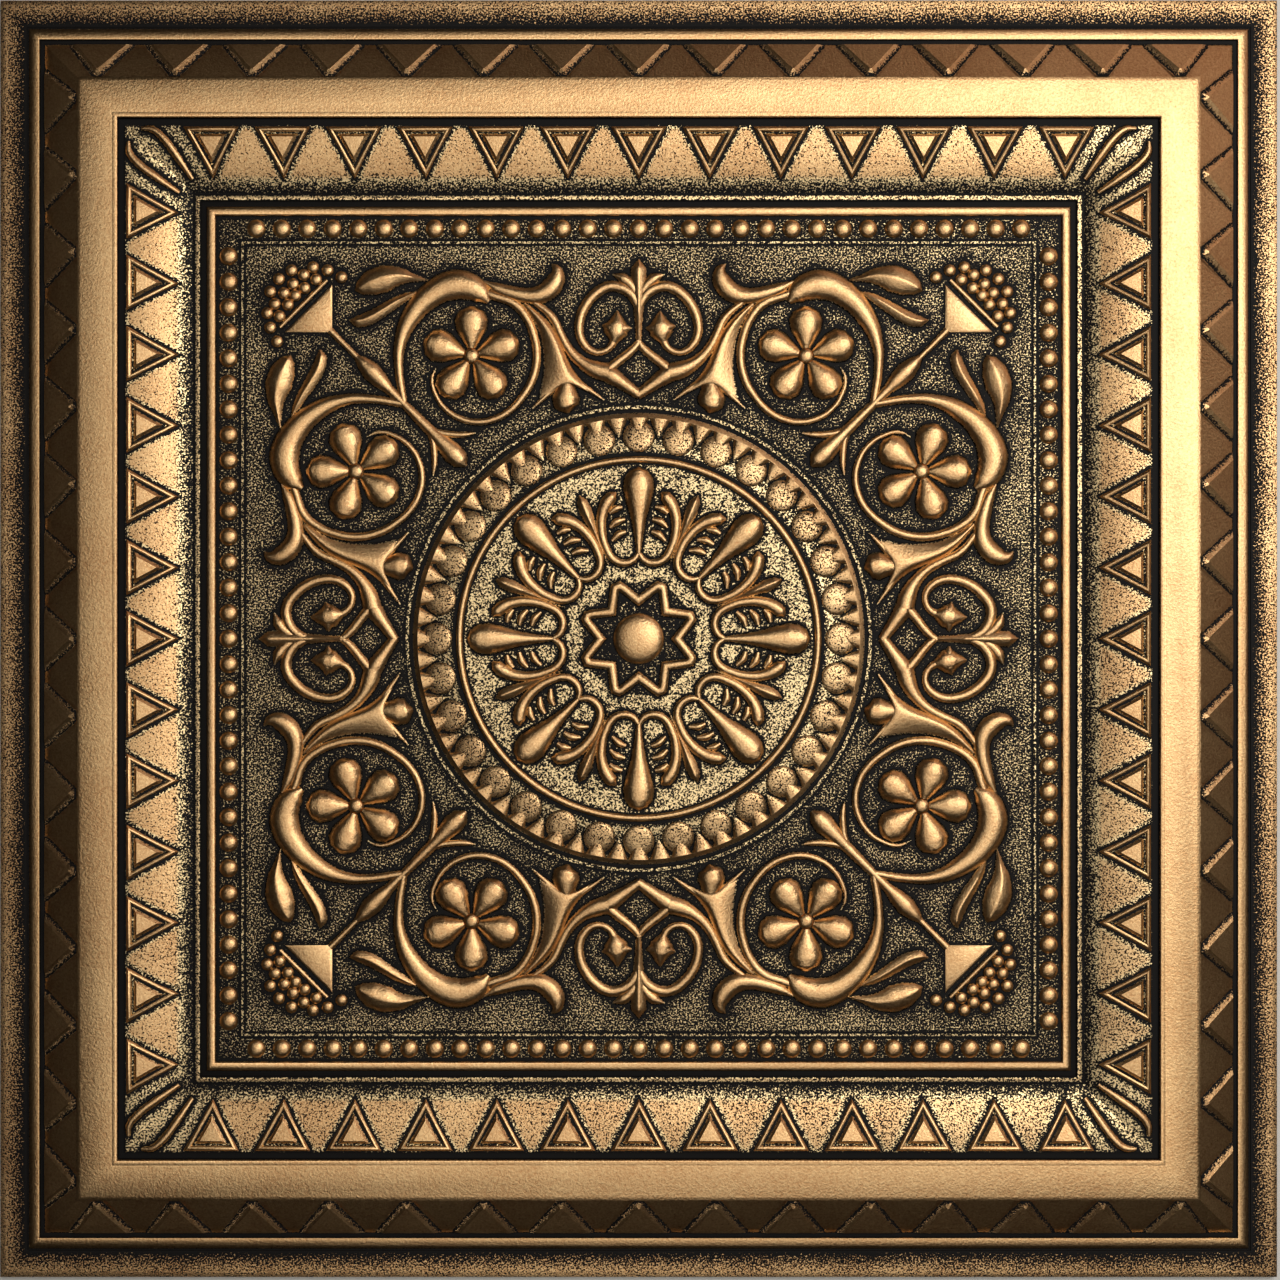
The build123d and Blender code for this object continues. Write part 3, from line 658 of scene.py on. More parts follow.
class TILE_OT_mouldings(bpy.types.Operator):
    """Model the square frame's mouldings and the tile's flat back with its hollow"""

    bl_idname = "tile.mouldings"
    bl_label = "Mouldings"

    def execute(self, context):
        sizes = context.scene.tile_sizes
        half = sizes.side / MM / 2
        rim = sizes.rim_height / MM
        top = sizes.frame_height / MM
        field = sizes.field_height / MM
        stops = [
            (half, rim - 0.6, 0.7), (half - 0.2, rim - 0.15, 0.7), (half - 0.6, rim, 0.7),
            (half - 2.6, rim, 0.62), (half - 5.5, rim, 0.42), (half - 8.0, rim, 0.22),
            (half - 9.8, rim, -0.05),
            (RIM_INNER, rim - 0.15, BARE), (RIM_INNER - 0.1, FOOT_GROOVE, BARE),
        ]
        stops += [
            (OUTER_BEAD[0], FOOT_GROOVE, BARE), (OUTER_BEAD[0] - 0.3, FOOT_GROOVE + 0.35, 0.9),
            (OUTER_BEAD[0] - 1.4, FOOT_GROOVE + 0.95, FULL), (OUTER_BEAD[0] - 2.0, FOOT_GROOVE + 1.2, FULL),
            (OUTER_BEAD[1] + 0.7, FOOT_GROOVE + 1.3, FULL),
            (OUTER_BEAD[1] + 0.25, FOOT_GROOVE + 1.15, FULL),
            (OUTER_BEAD[1], FOOT_GROOVE + 0.6, BARE), (OUTER_BEAD[1] - 0.1, FOOT_GROOVE, BARE),
            (FLANK_FOOT + 0.1, FOOT_GROOVE, BARE), (FLANK_FOOT, FOOT_GROOVE + 0.1, 0.2),
            (FLANK_FOOT - 0.5, FOOT_GROOVE + 0.35, FULL), (BAND[0] + 0.5, top - 0.75, FULL),
            (BAND[0] - 0.1, top - 0.42, FULL), (BAND[0] - 0.9, top - 0.12, FULL),
            (BAND[0] - 1.6, top, FULL),
            (BAND[1] + 2.8, top, FULL), (BAND[1] + 2.4, top - 0.14, FULL),
            (BAND[1] + 2.0, top - 0.06, FULL),
            (BAND[1] + 1.3, top, FULL), (BAND[1] + 0.7, top - 0.18, FULL), (BAND[1] + 0.3, top - 0.5, FULL),
            (BAND[1], top - 1.2, BARE), (BAND[1] - 0.1, BAND_GROOVE, BARE),
            (OVOLO[0] - 0.4, BAND_GROOVE, BARE), (OVOLO[1] + 0.2, DEEP_GROOVE, BARE),
            (OVOLO[1] - 0.1, FILLET_TOP - 0.2, BARE), (OVOLO[1] - 1.0, FILLET_TOP - 0.1, 0.1),
            (OVOLO[1] - 1.3, FILLET_TOP, 0.6), (FILLET_INNER + 0.4, FILLET_TOP, 0.6),
            (FILLET_INNER, FILLET_TOP - 0.2, 0.0),
            (FILLET_INNER - 0.1, DEEP_GROOVE, BARE),
        ]
        stops += bead(*INNER_BEAD, DEEP_GROOVE + 0.4, 1.5)
        stops += [
            (INNER_BEAD[1] - 0.1, field, BARE), (INNER_BEAD[1] - 1.6, field, 0.16),
            (CHANNEL_INNER + 1.4, field, 0.2), (CHANNEL_INNER + 0.1, field, BARE),
            (CHANNEL_INNER, field + 0.05, 0.0), (CHANNEL_INNER - 0.15, field + 0.45, 0.45),
            (FIELD_HALF + 0.2, field + 0.45, 0.35), (FIELD_HALF + 0.05, field, BARE),
            (FIELD_HALF - 0.1, DEEP_GROOVE, BARE),
        ]
        slab = begin(bpy.ops.mesh.primitive_plane_add, size=sizes.side)
        edit(slab)
        bpy.ops.mesh.extrude_region_move(TRANSFORM_OT_translate={"value": (0, 0, stops[0][1] * MM)})
        step_through(stops)
        bpy.ops.mesh.select_all(action="SELECT")
        bpy.ops.mesh.normals_make_consistent(inside=False)
        pick_faces(slab, lambda face: face.normal.z < -0.5)
        hollow = [(24, 0), (33, -7.2), (45, -7.2), (68, 0)]
        step_through([(half, 0, 0)] + [(half - inward, depth, 0) for inward, depth in hollow])
        leave_edit()
        section = [(half, 0, 0.5)] + stops
        gild(slab, lambda place: nearest_stop(section, square_reach(place), place.z))
        finish_piece(slab, "tile_mouldings", context)
        slab.data.materials.append(bare_foam(context.scene.tile_paint))
        for face in slab.data.polygons:
            face.material_index = 1 if face.normal.z < -0.2 else 0
        return {"FINISHED"}


class TILE_OT_dogtooth(bpy.types.Operator):
    """Model the row of wedge teeth on the frame's outer flank, with the black crease beside each"""

    bl_idname = "tile.dogtooth"
    bl_label = "Dogtooth"

    def execute(self, context):
        sizes = context.scene.tile_sizes
        top = sizes.frame_height / MM
        half_base, wall, rise, crease, tip, nose, corner_gap = 13.2, 3.4, 1.5, 0.8, 1.7, 3.2, 7.5
        foot, peak = FLANK_FOOT - 0.2, BAND[0] + 0.2
        pitch = 2 * (FLANK_FOOT - corner_gap) / sizes.tooth_count
        tooth = begin(bpy.ops.mesh.primitive_plane_add, size=1)
        outline = {
            (1, -1): (foot, -half_base - crease), (1, 1): (foot, half_base + crease),
            (-1, 1): (peak, tip + crease), (-1, -1): (peak, -tip - crease),
        }
        for vertex in tooth.data.vertices:
            side = (1 if vertex.co.x > 0 else -1, 1 if vertex.co.y > 0 else -1)
            vertex.co = (outline[side][0] * MM, outline[side][1] * MM, 0.04 * MM)
        edit(tooth)
        bpy.ops.mesh.inset(thickness=0.5 * MM)
        mesh = bmesh.from_edit_mesh(tooth.data)
        for vertex in mesh.verts:
            if vertex.select:
                at_foot = vertex.co.x > (foot + peak) / 2 * MM
                reach = half_base if at_foot else tip
                place = (foot if at_foot else peak, math.copysign(reach, vertex.co.y), 0.04)
                vertex.co = Vector(place) * MM
        bmesh.update_edit_mesh(tooth.data)
        bpy.ops.mesh.extrude_region_move(TRANSFORM_OT_translate={"value": (0, 0, rise * MM)})
        mesh = bmesh.from_edit_mesh(tooth.data)
        for vertex in mesh.verts:
            if vertex.select:
                at_foot = vertex.co.x > (foot + peak) / 2 * MM
                reach = half_base - wall if at_foot else 0.3
                vertex.co.x += 0 if at_foot else nose * MM
                vertex.co.y = math.copysign(reach, vertex.co.y) * MM
        bmesh.update_edit_mesh(tooth.data)
        leave_edit()
        gild(tooth, lambda place: self.gold(place, half_base, tip, crease))
        row(tooth, sizes.tooth_count, pitch)
        lift(tooth, lambda place: min(flank_height(place.x, top), top - place.z))
        turned(tooth, 4)
        finish_piece(tooth, "dogtooth", context, 12)
        return {"FINISHED"}

    def gold(self, place, half_base, tip, crease):
        """Gold on a tooth: full on top, none at the foot of its walls, and ragged out to the flank."""
        if place.z > 0.5:
            return FULL
        limit = half_base if place.x > (FLANK_FOOT + BAND[0]) / 2 else tip
        return 1.2 if abs(place.y) > limit + crease / 2 else -0.05


class TILE_OT_ovolo_triangles(bpy.types.Operator):
    """Model the raised triangles on the ovolo, each a rounded border round a bevelled middle"""

    bl_idname = "tile.ovolo_triangles"
    bl_label = "Ovolo Triangles"

    def execute(self, context):
        sizes = context.scene.tile_sizes
        half_base, triangle_length, setback, corner_gap = 10.8, 19.4, 0.6, 19.5
        base = OVOLO[0] - setback
        pitch = 2 * (OVOLO[0] - corner_gap) / sizes.triangle_count
        corners = [(base, -half_base), (base, half_base), (base - triangle_length, 0)]
        triangle = begin(bpy.ops.mesh.primitive_circle_add, vertices=3, radius=1, fill_type="NGON")
        for vertex, (x, y) in zip(triangle.data.vertices, corners):
            vertex.co = (x * MM, y * MM, -0.4 * MM)
        edit(triangle)
        bpy.ops.mesh.normals_make_consistent(inside=False)
        mesh = bmesh.from_edit_mesh(triangle.data)
        if any(face.normal.z < 0 for face in mesh.faces):
            bpy.ops.mesh.flip_normals()
        bpy.ops.mesh.extrude_region_move(TRANSFORM_OT_translate={"value": (0, 0, 0.9 * MM)})
        steps = [(0.0, 0.5), (0.35, 0.85), (0.8, 1.05), (1.2, 1.0), (1.65, 0.7), (2.0, 0.1), (2.5, 0.08),
                 (2.75, 0.25), (3.9, 0.95), (4.4, 1.05)]
        step_through([(reach, height, 0) for reach, height in steps])
        bpy.ops.mesh.merge(type="COLLAPSE")
        leave_edit()
        row(triangle, sizes.triangle_count, pitch)
        gild(triangle, lambda place: rubbed(place.z, -0.05, 0.6))
        lift(triangle, lambda place: ovolo_height(place.x))
        turned(triangle, 4)
        finish_piece(triangle, "ovolo_triangles", context, 28)
        return {"FINISHED"}


class TILE_OT_corner_tongues(bpy.types.Operator):
    """Model the pair of ridges that turns each corner of the ovolo"""

    bl_idname = "tile.corner_tongues"
    bl_label = "Corner Tongues"

    def execute(self, context):
        tongues = strokes([TONGUE], VINE_SECTION)
        press(tongues, context.scene.tile_sizes.relief_depth)
        mirrored(tongues)
        face_outwards(tongues)
        gild(tongues, lambda place: rubbed(place.z))
        lift(tongues, lambda place: ovolo_height(square_reach(place)))
        turned(tongues, 4)
        finish_piece(tongues, "corner_tongues", context, RELIEF_ANGLE)
        return {"FINISHED"}


class TILE_OT_ovolo(bpy.types.Operator):
    """Model the four curved strips of the ovolo, with bare ground close round the triangles"""

    bl_idname = "tile.ovolo"
    bl_label = "Ovolo"

    def execute(self, context):
        across, along = 22, 320
        strip = begin(bpy.ops.mesh.primitive_grid_add, x_subdivisions=across, y_subdivisions=along, size=2)
        middle = (OVOLO[0] + OVOLO[1]) / 2
        half_width = (OVOLO[0] - OVOLO[1]) / 2
        for vertex in strip.data.vertices:
            reach = middle + half_width * vertex.co.x
            vertex.co = (reach * MM, vertex.co.y * reach * MM, ovolo_height(reach) * MM)
        edit(strip, "EDGE")
        bpy.ops.mesh.region_to_loop()
        bpy.ops.mesh.extrude_region_move(TRANSFORM_OT_translate={"value": (0, 0, -1.1 * MM)})
        leave_edit()
        turned(strip, 4)
        trees = trees_of(("ovolo_triangles", "corner_tongues"), context)
        gild(strip, lambda place: self.gold(place, trees))
        finish_piece(strip, "ovolo", context)
        return {"FINISHED"}

    def gold(self, place, trees):
        """Gold on the ovolo: dense in the middle of its width, thin at both edges and round the forms, and
        thinner towards the lower right as painted shade.
        """
        reach = square_reach(place)
        if place.z < ovolo_height(reach) - 0.3:
            return BARE
        at_corner = min(abs(place.x), abs(place.y)) > OVOLO[1] - 6
        # The term in (y - x) thins the gold towards the lower right: painted shade that darkens the right and
        # lower strips and lightens the left and upper ones.
        top = 0.55 if at_corner else 0.8 + 0.08 * (place.y - place.x) / OVOLO[0]
        outer_limit = 0.25 + 0.3 * (OVOLO[0] - reach)
        inner_limit = 0.06 + 0.1 * (reach - OVOLO[1])
        return min(halo(place, trees, top, 0.55, 0.7), outer_limit, inner_limit)


class TILE_OT_pearl_border(bpy.types.Operator):
    """Model the row of pearls in the channel round the field"""

    bl_idname = "tile.pearl_border"
    bl_label = "Pearl Border"

    def execute(self, context):
        sizes = context.scene.tile_sizes
        ground = sizes.field_height / MM
        row_line = (INNER_BEAD[1] + CHANNEL_INNER) / 2
        corner_gap = 10.8
        pitch = 2 * (row_line - corner_gap) / (sizes.pearl_count - 1)
        pearl = half_ball(3.7, 2.3, 18, 6)
        pearl.location = (row_line * MM, 0, ground * MM)
        apply_place(pearl)
        row(pearl, sizes.pearl_count, pitch)
        turned(pearl, 4)
        gild(pearl, lambda place: rubbed(place.z - ground, -0.2, 0.4))
        finish_piece(pearl, "pearl_border", context, 60)
        return {"FINISHED"}


class TILE_OT_scroll_vines(bpy.types.Operator):
    """Model the scrolls, rings and hooked leaves of the field"""

    bl_idname = "tile.scroll_vines"
    bl_label = "Scroll Vines"

    def execute(self, context):
        vines = mirrored(strokes(SCROLL_STROKES, VINE_SECTION))
        field_relief(turned(vines, 4), "scroll_vines", context)
        return {"FINISHED"}


class TILE_OT_leaf_pairs(bpy.types.Operator):
    """Model the two leaves beside each thistle"""

    bl_idname = "tile.leaf_pairs"
    bl_label = "Leaf Pairs"

    def execute(self, context):
        leaves = mirrored(strokes(LEAF_STROKES, LEAF_SECTION))
        field_relief(turned(leaves, 4), "leaf_pairs", context)
        return {"FINISHED"}


class TILE_OT_flowers(bpy.types.Operator):
    """Model the five-petalled flowers inside the rings"""

    bl_idname = "tile.flowers"
    bl_label = "Flowers"

    def execute(self, context):
        middle_x, middle_y = FLOWER_CENTRE
        petals = []
        for angle in PETAL_ANGLES:
            turn = math.radians(angle)
            petals.append([
                (middle_x + reach * math.cos(turn), middle_y + reach * math.sin(turn), half_width)
                for reach, half_width in PETAL
            ])
        flower = strokes(petals, VINE_SECTION)
        boss = half_ball(FLOWER_BOSS, 2.6, 14, 4)
        boss.location = (middle_x * MM, middle_y * MM, 0)
        flower = join([flower, apply_place(boss)])
        field_relief(turned(mirrored(flower), 4), "flowers", context)
        return {"FINISHED"}


class TILE_OT_bell_flowers(bpy.types.Operator):
    """Model the bell flowers between the rings and the hearts"""

    bl_idname = "tile.bell_flowers"
    bl_label = "Bell Flowers"

    def execute(self, context):
        bells = join([self.trumpet(), strokes(BELL_STROKES, VINE_SECTION), strokes([BELL_BUD], VINE_SECTION)])
        field_relief(turned(mirrored(bells), 4), "bell_flowers", context)
        return {"FINISHED"}

    def trumpet(self):
        """Flaring body of the bell, with flanks that fall away from a ridge."""
        rows = len(BELL_LINES)
        body = begin(bpy.ops.mesh.primitive_grid_add, x_subdivisions=4, y_subdivisions=rows - 1, size=2)
        for vertex in body.data.vertices:
            left, ridge, right, rise = BELL_LINES[round((1 - vertex.co.y) / 2 * (rows - 1))]
            foot = Vector(left if vertex.co.x < 0 else right)
            out = abs(vertex.co.x)
            place = Vector(ridge).lerp(foot, out)
            vertex.co = (place.x * MM, place.y * MM, rise * (1 - out)**1.2 * MM)
        edit(body, "EDGE")
        bpy.ops.mesh.region_to_loop()
        bpy.ops.mesh.extrude_region_move()
        mesh = bmesh.from_edit_mesh(body.data)
        for vertex in mesh.verts:
            if vertex.select:
                vertex.co.z = -0.5 * MM
        bmesh.update_edit_mesh(body.data)
        bpy.ops.mesh.edge_face_add()
        leave_edit()
        return apply_modifier(body, "SUBSURF", levels=2)


class TILE_OT_hearts(bpy.types.Operator):
    """Model the heart and finial in the middle of each side of the field"""

    bl_idname = "tile.hearts"
    bl_label = "Hearts"

    def execute(self, context):
        loops = mirrored(strokes(HEART_STROKES, VINE_SECTION))
        hearts = join([loops, strokes([HEART_STEM], LEAF_SECTION)])
        field_relief(turned(hearts, 4), "hearts", context)
        return {"FINISHED"}


class TILE_OT_thistles(bpy.types.Operator):
    """Model the thistle in each corner of the field: berries, cup, stalk and bud"""

    bl_idname = "tile.thistles"
    bl_label = "Thistles"

    def execute(self, context):
        slant = math.sqrt(0.5)
        stalk = [(-reach * slant, reach * slant, half_width) for reach, half_width in THISTLE_STALK]
        bud = [(-reach * slant, reach * slant, half_width) for reach, half_width in THISTLE_BUD]
        middle = join([strokes([bud], VINE_SECTION), strokes([stalk, THISTLE_BAR], VINE_SECTION), self.cup()])
        berry = half_ball(BERRY_RADIUS, 1.9, 10, 3)
        side = [placed(berry, x, y) for x, y in BERRIES]
        on_line = [placed(berry, -reach, reach) for reach in DIAGONAL_BERRIES]
        bpy.data.objects.remove(berry)
        quarter = join([middle] + on_line)
        thistles = join([turned(quarter, 4), turned(mirrored(join(side)), 4)])
        field_relief(thistles, "thistles", context)
        return {"FINISHED"}

    def cup(self):
        """Flat three-cornered cup with a bevelled edge."""
        cup = begin(bpy.ops.mesh.primitive_circle_add, vertices=3, radius=1, fill_type="NGON")
        for vertex, (x, y) in zip(cup.data.vertices, THISTLE_CUP):
            vertex.co = (x * MM, y * MM, -0.4 * MM)
        edit(cup)
        bpy.ops.mesh.extrude_region_move(TRANSFORM_OT_translate={"value": (0, 0, 1.2 * MM)})
        bpy.ops.mesh.inset(thickness=1.0 * MM)
        bpy.ops.transform.translate(value=(0, 0, 0.7 * MM))
        leave_edit()
        return cup


class TILE_OT_medallion_rings(bpy.types.Operator):
    """Model the medallion's turned body: thin ring, sloping egg ring, moat and outline ring"""

    bl_idname = "tile.medallion_rings"
    bl_label = "Medallion Rings"

    def execute(self, context):
        sizes = context.scene.tile_sizes
        field = sizes.field_height / MM
        disc = sizes.disc_height / MM
        stops = [(OUTLINE_RING[1], field - 0.4, BARE)]
        stops += [
            (OUTLINE_RING[1] - 0.05, field, BARE), (OUTLINE_RING[1] - 0.3, field + 0.5, 0.4),
            (OUTLINE_RING[0] + 0.3, field + 0.5, 0.4), (OUTLINE_RING[0], field, BARE),
            (EGG_RING[1] + 2.0, field - 0.2, BARE), (EGG_RING[1] + 1.9, field + 0.1, 0.6),
            (EGG_RING[1] + 0.3, EGG_RING_FOOT - 0.2, FULL), (EGG_RING[1] - 0.4, EGG_RING_FOOT + 0.1, FULL),
            (EGG_RING[1] - 1.2, EGG_RING_FOOT + 0.2, BARE),
            (EGG_RING[1] - 6.0, egg_ring_height(EGG_RING[1] - 6.0), 0.0),
            (EGG_RING[0] + 4.0, egg_ring_height(EGG_RING[0] + 4.0), 0.35),
            (EGG_RING[0] + 2.0, egg_ring_height(EGG_RING[0] + 2.0), 0.6),
            (EGG_RING[0] - 0.3, egg_ring_height(EGG_RING[0]), 0.1), (EGG_RING[0] - 0.6, RING_GROOVE, BARE),
            (THIN_RING_OUTER + 0.1, RING_GROOVE, BARE),
        ]
        stops += bead(THIN_RING_OUTER, DISC_RADIUS, disc - 0.2, 1.5)
        stops += [(DISC_RADIUS - 0.1, disc - 0.6, BARE)]
        rings = begin(
            bpy.ops.mesh.primitive_circle_add, vertices=192, radius=stops[0][0] * MM, fill_type="NGON")
        rings.location.z = stops[0][1] * MM
        apply_place(rings)
        edit(rings)
        step_through(stops)
        leave_edit()
        gild(rings, lambda place: nearest_stop(stops, math.hypot(place.x, place.y), place.z))
        finish_piece(rings, "medallion_rings", context)
        return {"FINISHED"}


class TILE_OT_egg_and_dart(bpy.types.Operator):
    """Model the eggs on the medallion's sloping ring and the darts that point in from its edge"""

    bl_idname = "tile.egg_and_dart"
    bl_label = "Egg and Dart"

    def execute(self, context):
        sizes = context.scene.tile_sizes
        egg_radius, egg_setback = 6.4, -0.3
        egg = half_ball(egg_radius, 1.6, 18, 5)
        for vertex in egg.data.vertices:
            vertex.co.z = min(vertex.co.z, 1.1 * MM + 0.2 * vertex.co.z)
        egg.location.x = (EGG_RING[0] + egg_setback + egg_radius) * MM
        eggs = turned(apply_place(egg), sizes.egg_count)
        gild(eggs, lambda place: min(rubbed(place.z, 0.1, 0.35), 0.67))
        darts = turned(self.dart(sizes), 2 * sizes.egg_count)
        gild(darts, lambda place: min(rubbed(place.z, 0.45, 0.8), 1.0))
        both = join([eggs, darts])
        lift(both, lambda place: egg_ring_height(math.hypot(place.x, place.y)))
        finish_piece(both, "egg_and_dart", context, 40)
        return {"FINISHED"}

    def dart(self, sizes):
        """Half cone that lies over the eggs, broad at the ring's edge and pointing in."""
        base, dart_length, rise, lifted = EGG_RING[1] - 0.3, 7.4, 1.6, 0.8
        half_base = math.pi * base / (2 * sizes.egg_count)
        dart = begin(bpy.ops.mesh.primitive_cone_add, vertices=12, radius1=half_base * MM, radius2=0.2 * MM,
                     depth=dart_length * MM, rotation=(0, -math.pi / 2, 0))
        dart.scale = (rise / half_base, 1, 1)
        apply_place(dart)
        edit(dart)
        bpy.ops.mesh.bisect(plane_co=(0, 0, 0), plane_no=(0, 0, 1), clear_inner=True)
        bpy.ops.mesh.select_all(action="SELECT")
        bpy.ops.mesh.region_to_loop()
        bpy.ops.mesh.extrude_region_move(TRANSFORM_OT_translate={"value": (0, 0, -1.2 * MM)})
        bpy.ops.mesh.edge_face_add()
        leave_edit()
        dart.location = ((base - dart_length / 2) * MM, 0, lifted * MM)
        return apply_place(dart)


class TILE_OT_palmettes(bpy.types.Operator):
    """Model the palmettes on the disc: clubs, their looped scrolls with rungs, and slim leaves between"""

    bl_idname = "tile.palmettes"
    bl_label = "Palmettes"

    def execute(self, context):
        leaf_turn = math.pi / PALMETTE_COUNT
        along_x, along_y = math.sin(leaf_turn), math.cos(leaf_turn)
        slim = [(reach * along_x, reach * along_y, half_width) for reach, half_width in SLIM_LEAF]
        side = mirrored(strokes((LOOP, *RUNGS), VINE_SECTION))
        middle = join([strokes([CLUB], VINE_SECTION), strokes([slim], LEAF_SECTION)])
        palmettes = turned(join([side, middle]), PALMETTE_COUNT)
        sizes = context.scene.tile_sizes
        press(palmettes, sizes.relief_depth)
        finish_relief(palmettes, "palmettes", context, sizes.disc_height)
        return {"FINISHED"}


class TILE_OT_star_and_dome(bpy.types.Operator):
    """Model the eight-pointed star line and the dome in the medallion's middle"""

    bl_idname = "tile.star_and_dome"
    bl_label = "Star and Dome"

    def execute(self, context):
        half_step = 180 / PALMETTE_COUNT
        arm = [(STAR_NOTCH, 0), (STAR_SHOULDER, half_step - STAR_TIP_ANGLE),
               (STAR_TIP, half_step - STAR_TIP_ANGLE / 2),
               (STAR_TIP, half_step + STAR_TIP_ANGLE / 2), (STAR_SHOULDER, half_step + STAR_TIP_ANGLE)]
        points = []
        for index in range(PALMETTE_COUNT):
            for reach, angle in arm:
                turn = math.radians(angle + 2 * half_step * index)
                points.append((reach * math.sin(turn), reach * math.cos(turn), STAR_LINE))
        star = strokes([points], VINE_SECTION, closed=True, corners="VECTOR", steps=2)
        sizes = context.scene.tile_sizes
        press(star, sizes.relief_depth)
        dome = half_ball(DOME_RADIUS, DOME_RISE, 48, 10)
        finish_relief(join([star, dome]), "star_and_dome", context, sizes.disc_height)
        return {"FINISHED"}


class TILE_OT_field(bpy.types.Operator):
    """Model the level field, with bare ground close round the relief"""

    bl_idname = "tile.field"
    bl_label = "Field"

    def execute(self, context):
        sizes = context.scene.tile_sizes
        field = begin(bpy.ops.mesh.primitive_grid_add, x_subdivisions=FIELD_CELLS, y_subdivisions=FIELD_CELLS,
                      size=2 * FIELD_HALF * MM, location=(0, 0, sizes.field_height))
        apply_place(field)
        edit(field, "EDGE")
        bpy.ops.mesh.region_to_loop()
        bpy.ops.mesh.extrude_region_move(TRANSFORM_OT_translate={"value": (0, 0, -0.5 * MM)})
        leave_edit()
        trees = trees_of(("scroll_vines", "leaf_pairs", "flowers", "bell_flowers", "hearts", "thistles",
                          "medallion_rings"), context)
        gild(field, lambda place: self.gold(place, trees))
        finish_piece(field, "field", context)
        return {"FINISHED"}

    def gold(self, place, trees):
        """Gold on the field: bare under the medallion and along its edge, specks elsewhere."""
        if math.hypot(place.x, place.y) < OUTLINE_RING[0]:
            return BARE
        edge = FIELD_HALF - square_reach(place)
        return min(halo(place, trees, 0.32, 0.4, 1.6), 0.6 * edge - 0.2)


class TILE_OT_disc(bpy.types.Operator):
    """Model the medallion's disc, with bare ground close round the palmettes"""

    bl_idname = "tile.disc"
    bl_label = "Disc"

    def execute(self, context):
        sizes = context.scene.tile_sizes
        disc_height = sizes.disc_height / MM
        ring_step, inner = 1.0, 9.0
        rings = int((DISC_RADIUS - inner) / ring_step)
        stops = [(DISC_RADIUS + 0.2 - ring_step * index, 0, 0) for index in range(rings)]
        disc = begin(
            bpy.ops.mesh.primitive_circle_add, vertices=360, radius=stops[0][0] * MM, fill_type="NGON")
        disc.location.z = disc_height * MM
        apply_place(disc)
        edit(disc)
        step_through(stops)
        leave_edit()
        trees = trees_of(("palmettes", "star_and_dome"), context)
        gild(disc, lambda place: self.gold(place, trees))
        finish_piece(disc, "disc", context)
        return {"FINISHED"}

    def gold(self, place, trees):
        """Gold on the disc: dense specks, and only a few inside the star."""
        reach = math.hypot(place.x, place.y)
        top = 0.52 if reach > STAR_TIP else 0.12
        return min(halo(place, trees, top, 0.3, 0.5), 0.8 * (DISC_RADIUS - reach) - 0.3)


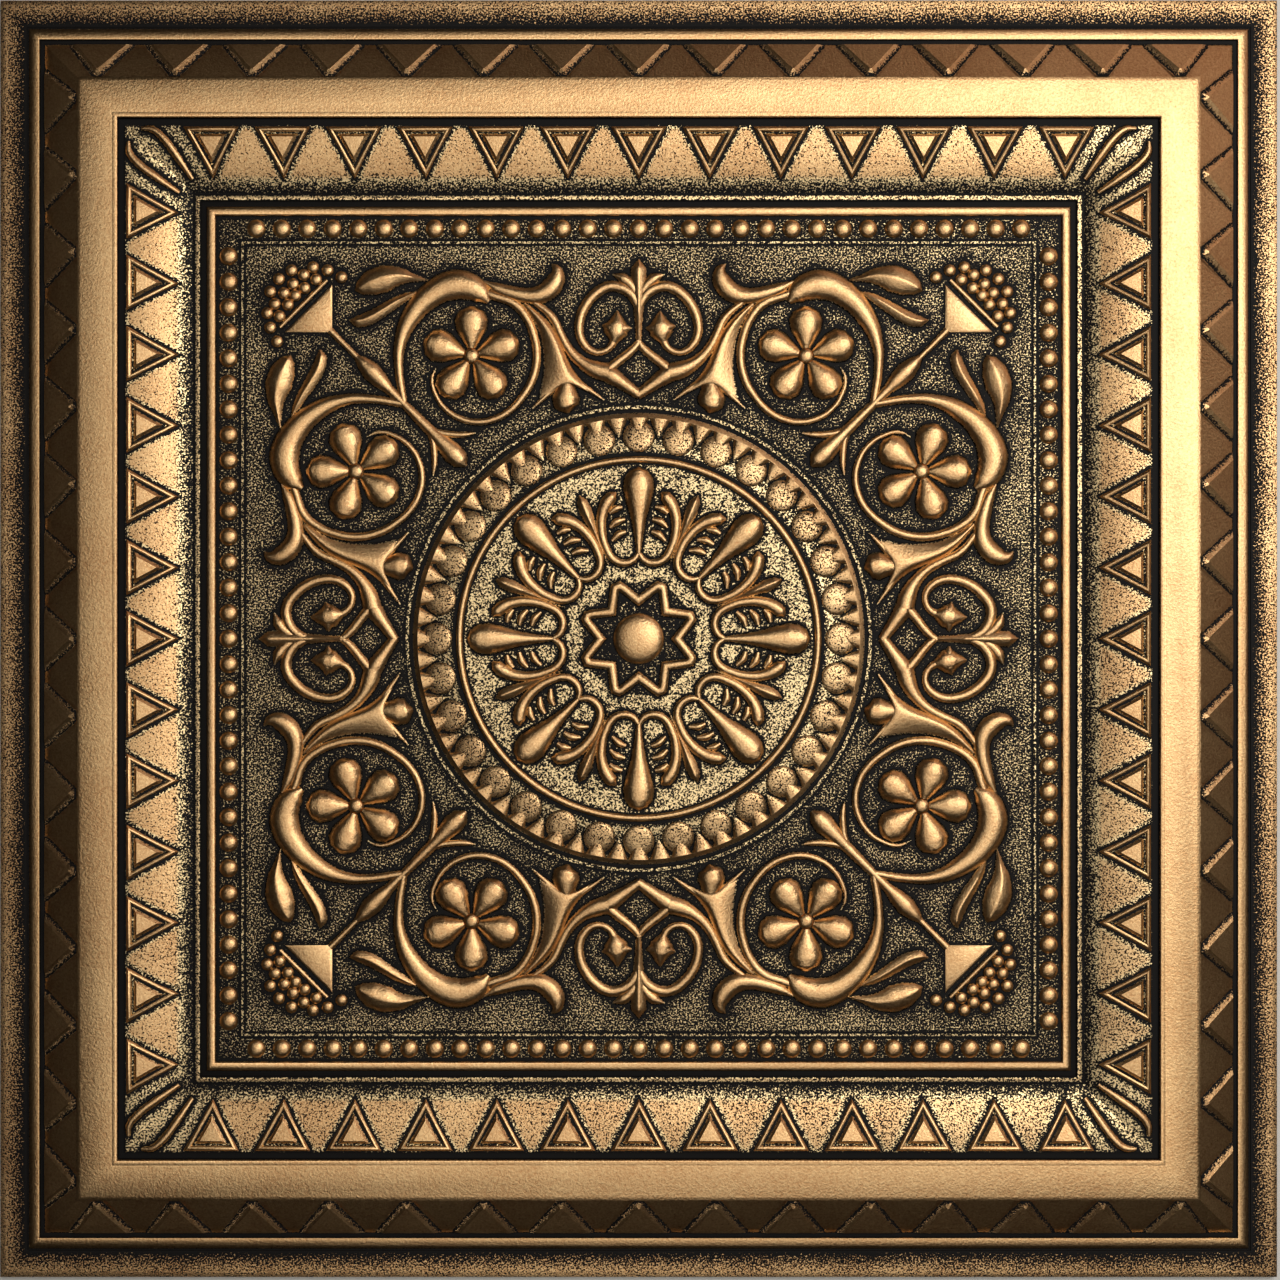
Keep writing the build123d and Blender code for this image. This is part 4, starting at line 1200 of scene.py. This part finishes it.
class TILE_OT_stage(bpy.types.Operator):
    """Set the floor, the soft studio light and the camera that looks straight down"""

    bl_idname = "tile.stage"
    bl_label = "Stage"

    def execute(self, context):
        scene = context.scene
        floor = begin(bpy.ops.mesh.primitive_plane_add, size=8, location=(0, 0, CAD_LOW[2]))
        floor.name = "floor"
        floor.data.materials.append(studio_floor(scene.tile_paint))
        self.light("soft_box", (0.15, 0.04, 0.95), (1.35, 1.35), 6.4, (1.0, 0.98, 0.94))
        self.light("key_light", (0.48, 0.3, 0.9), (0.7, 0.7), 4.4, (1.0, 0.98, 0.94))
        self.light("low_glow", (1.3, 1.3, 0.55), (2.6, 0.7), 4.2, (1.0, 0.69, 0.59))
        world = bpy.data.worlds.new("studio")
        world.use_nodes = True
        world.node_tree.nodes["Background"].inputs["Color"].default_value = (1.0, 0.86, 0.76, 1)
        world.node_tree.nodes["Background"].inputs["Strength"].default_value = 0.003
        scene.world = world
        self.camera(scene)
        scene.view_settings.view_transform = "Standard"
        return {"FINISHED"}

    def light(self, name, place, size, power, tint):
        """Lamp of this width and height that faces the tile."""
        bpy.ops.object.light_add(type="AREA", location=place)
        lamp = bpy.context.object
        lamp.name = name
        lamp.data.shape = "RECTANGLE"
        lamp.data.size, lamp.data.size_y = size
        lamp.data.energy = power
        lamp.data.color = tint
        lamp.rotation_euler = (-Vector(place)).to_track_quat("-Z", "Y").to_euler()

    def camera(self, scene):
        """Camera straight over the tile, which fills the square picture."""
        height, view_width = 0.85, 0.501
        bpy.ops.object.camera_add(location=(0.0, 0.0, height))
        camera = bpy.context.object
        camera.data.sensor_width = 36
        camera.data.lens = camera.data.sensor_width * (height - scene.tile_sizes.rim_height) / view_width
        camera.data.shift_x = 0.001
        camera.data.shift_y = -0.001
        camera.rotation_euler = (0, 0, 0)
        scene.camera = camera


class TILE_PT_panel(bpy.types.Panel):
    """Sidebar panel that lists the tile's sizes, colours and pieces"""

    bl_label = "Ceiling Tile"
    bl_idname = "TILE_PT_panel"
    bl_space_type = "VIEW_3D"
    bl_region_type = "UI"
    bl_category = "Ceiling Tile"

    def draw(self, context):
        for group in (context.scene.tile_sizes, context.scene.tile_paint):
            box = self.layout.box()
            for name in type(group).__annotations__:
                box.prop(group, name)
        for operator in OPERATORS:
            self.layout.operator(operator.bl_idname)


# The grounds come after the relief, because their paint thins out round it.
OPERATORS = (
    TILE_OT_dogtooth, TILE_OT_ovolo_triangles, TILE_OT_corner_tongues, TILE_OT_pearl_border,
    TILE_OT_scroll_vines,
    TILE_OT_leaf_pairs, TILE_OT_flowers, TILE_OT_bell_flowers, TILE_OT_hearts, TILE_OT_thistles,
    TILE_OT_medallion_rings, TILE_OT_egg_and_dart, TILE_OT_palmettes, TILE_OT_star_and_dome,
    TILE_OT_mouldings,
    TILE_OT_ovolo, TILE_OT_field, TILE_OT_disc, TILE_OT_stage,
)
CLASSES = (TileSizes, TilePaint, *OPERATORS, TILE_PT_panel)


def register():
    """Register the classes and hang the two property groups on the scene."""
    for kind in CLASSES:
        bpy.utils.register_class(kind)
    bpy.types.Scene.tile_sizes = PointerProperty(type=TileSizes)
    bpy.types.Scene.tile_paint = PointerProperty(type=TilePaint)


def unregister():
    """Take the property groups and the classes away again."""
    del bpy.types.Scene.tile_paint
    del bpy.types.Scene.tile_sizes
    for kind in reversed(CLASSES):
        bpy.utils.unregister_class(kind)


def main():
    """Make every piece and the stage."""
    register()
    for operator in OPERATORS:
        group, name = operator.bl_idname.split(".")
        getattr(getattr(bpy.ops, group), name)()


if __name__ == "__main__":
    main()
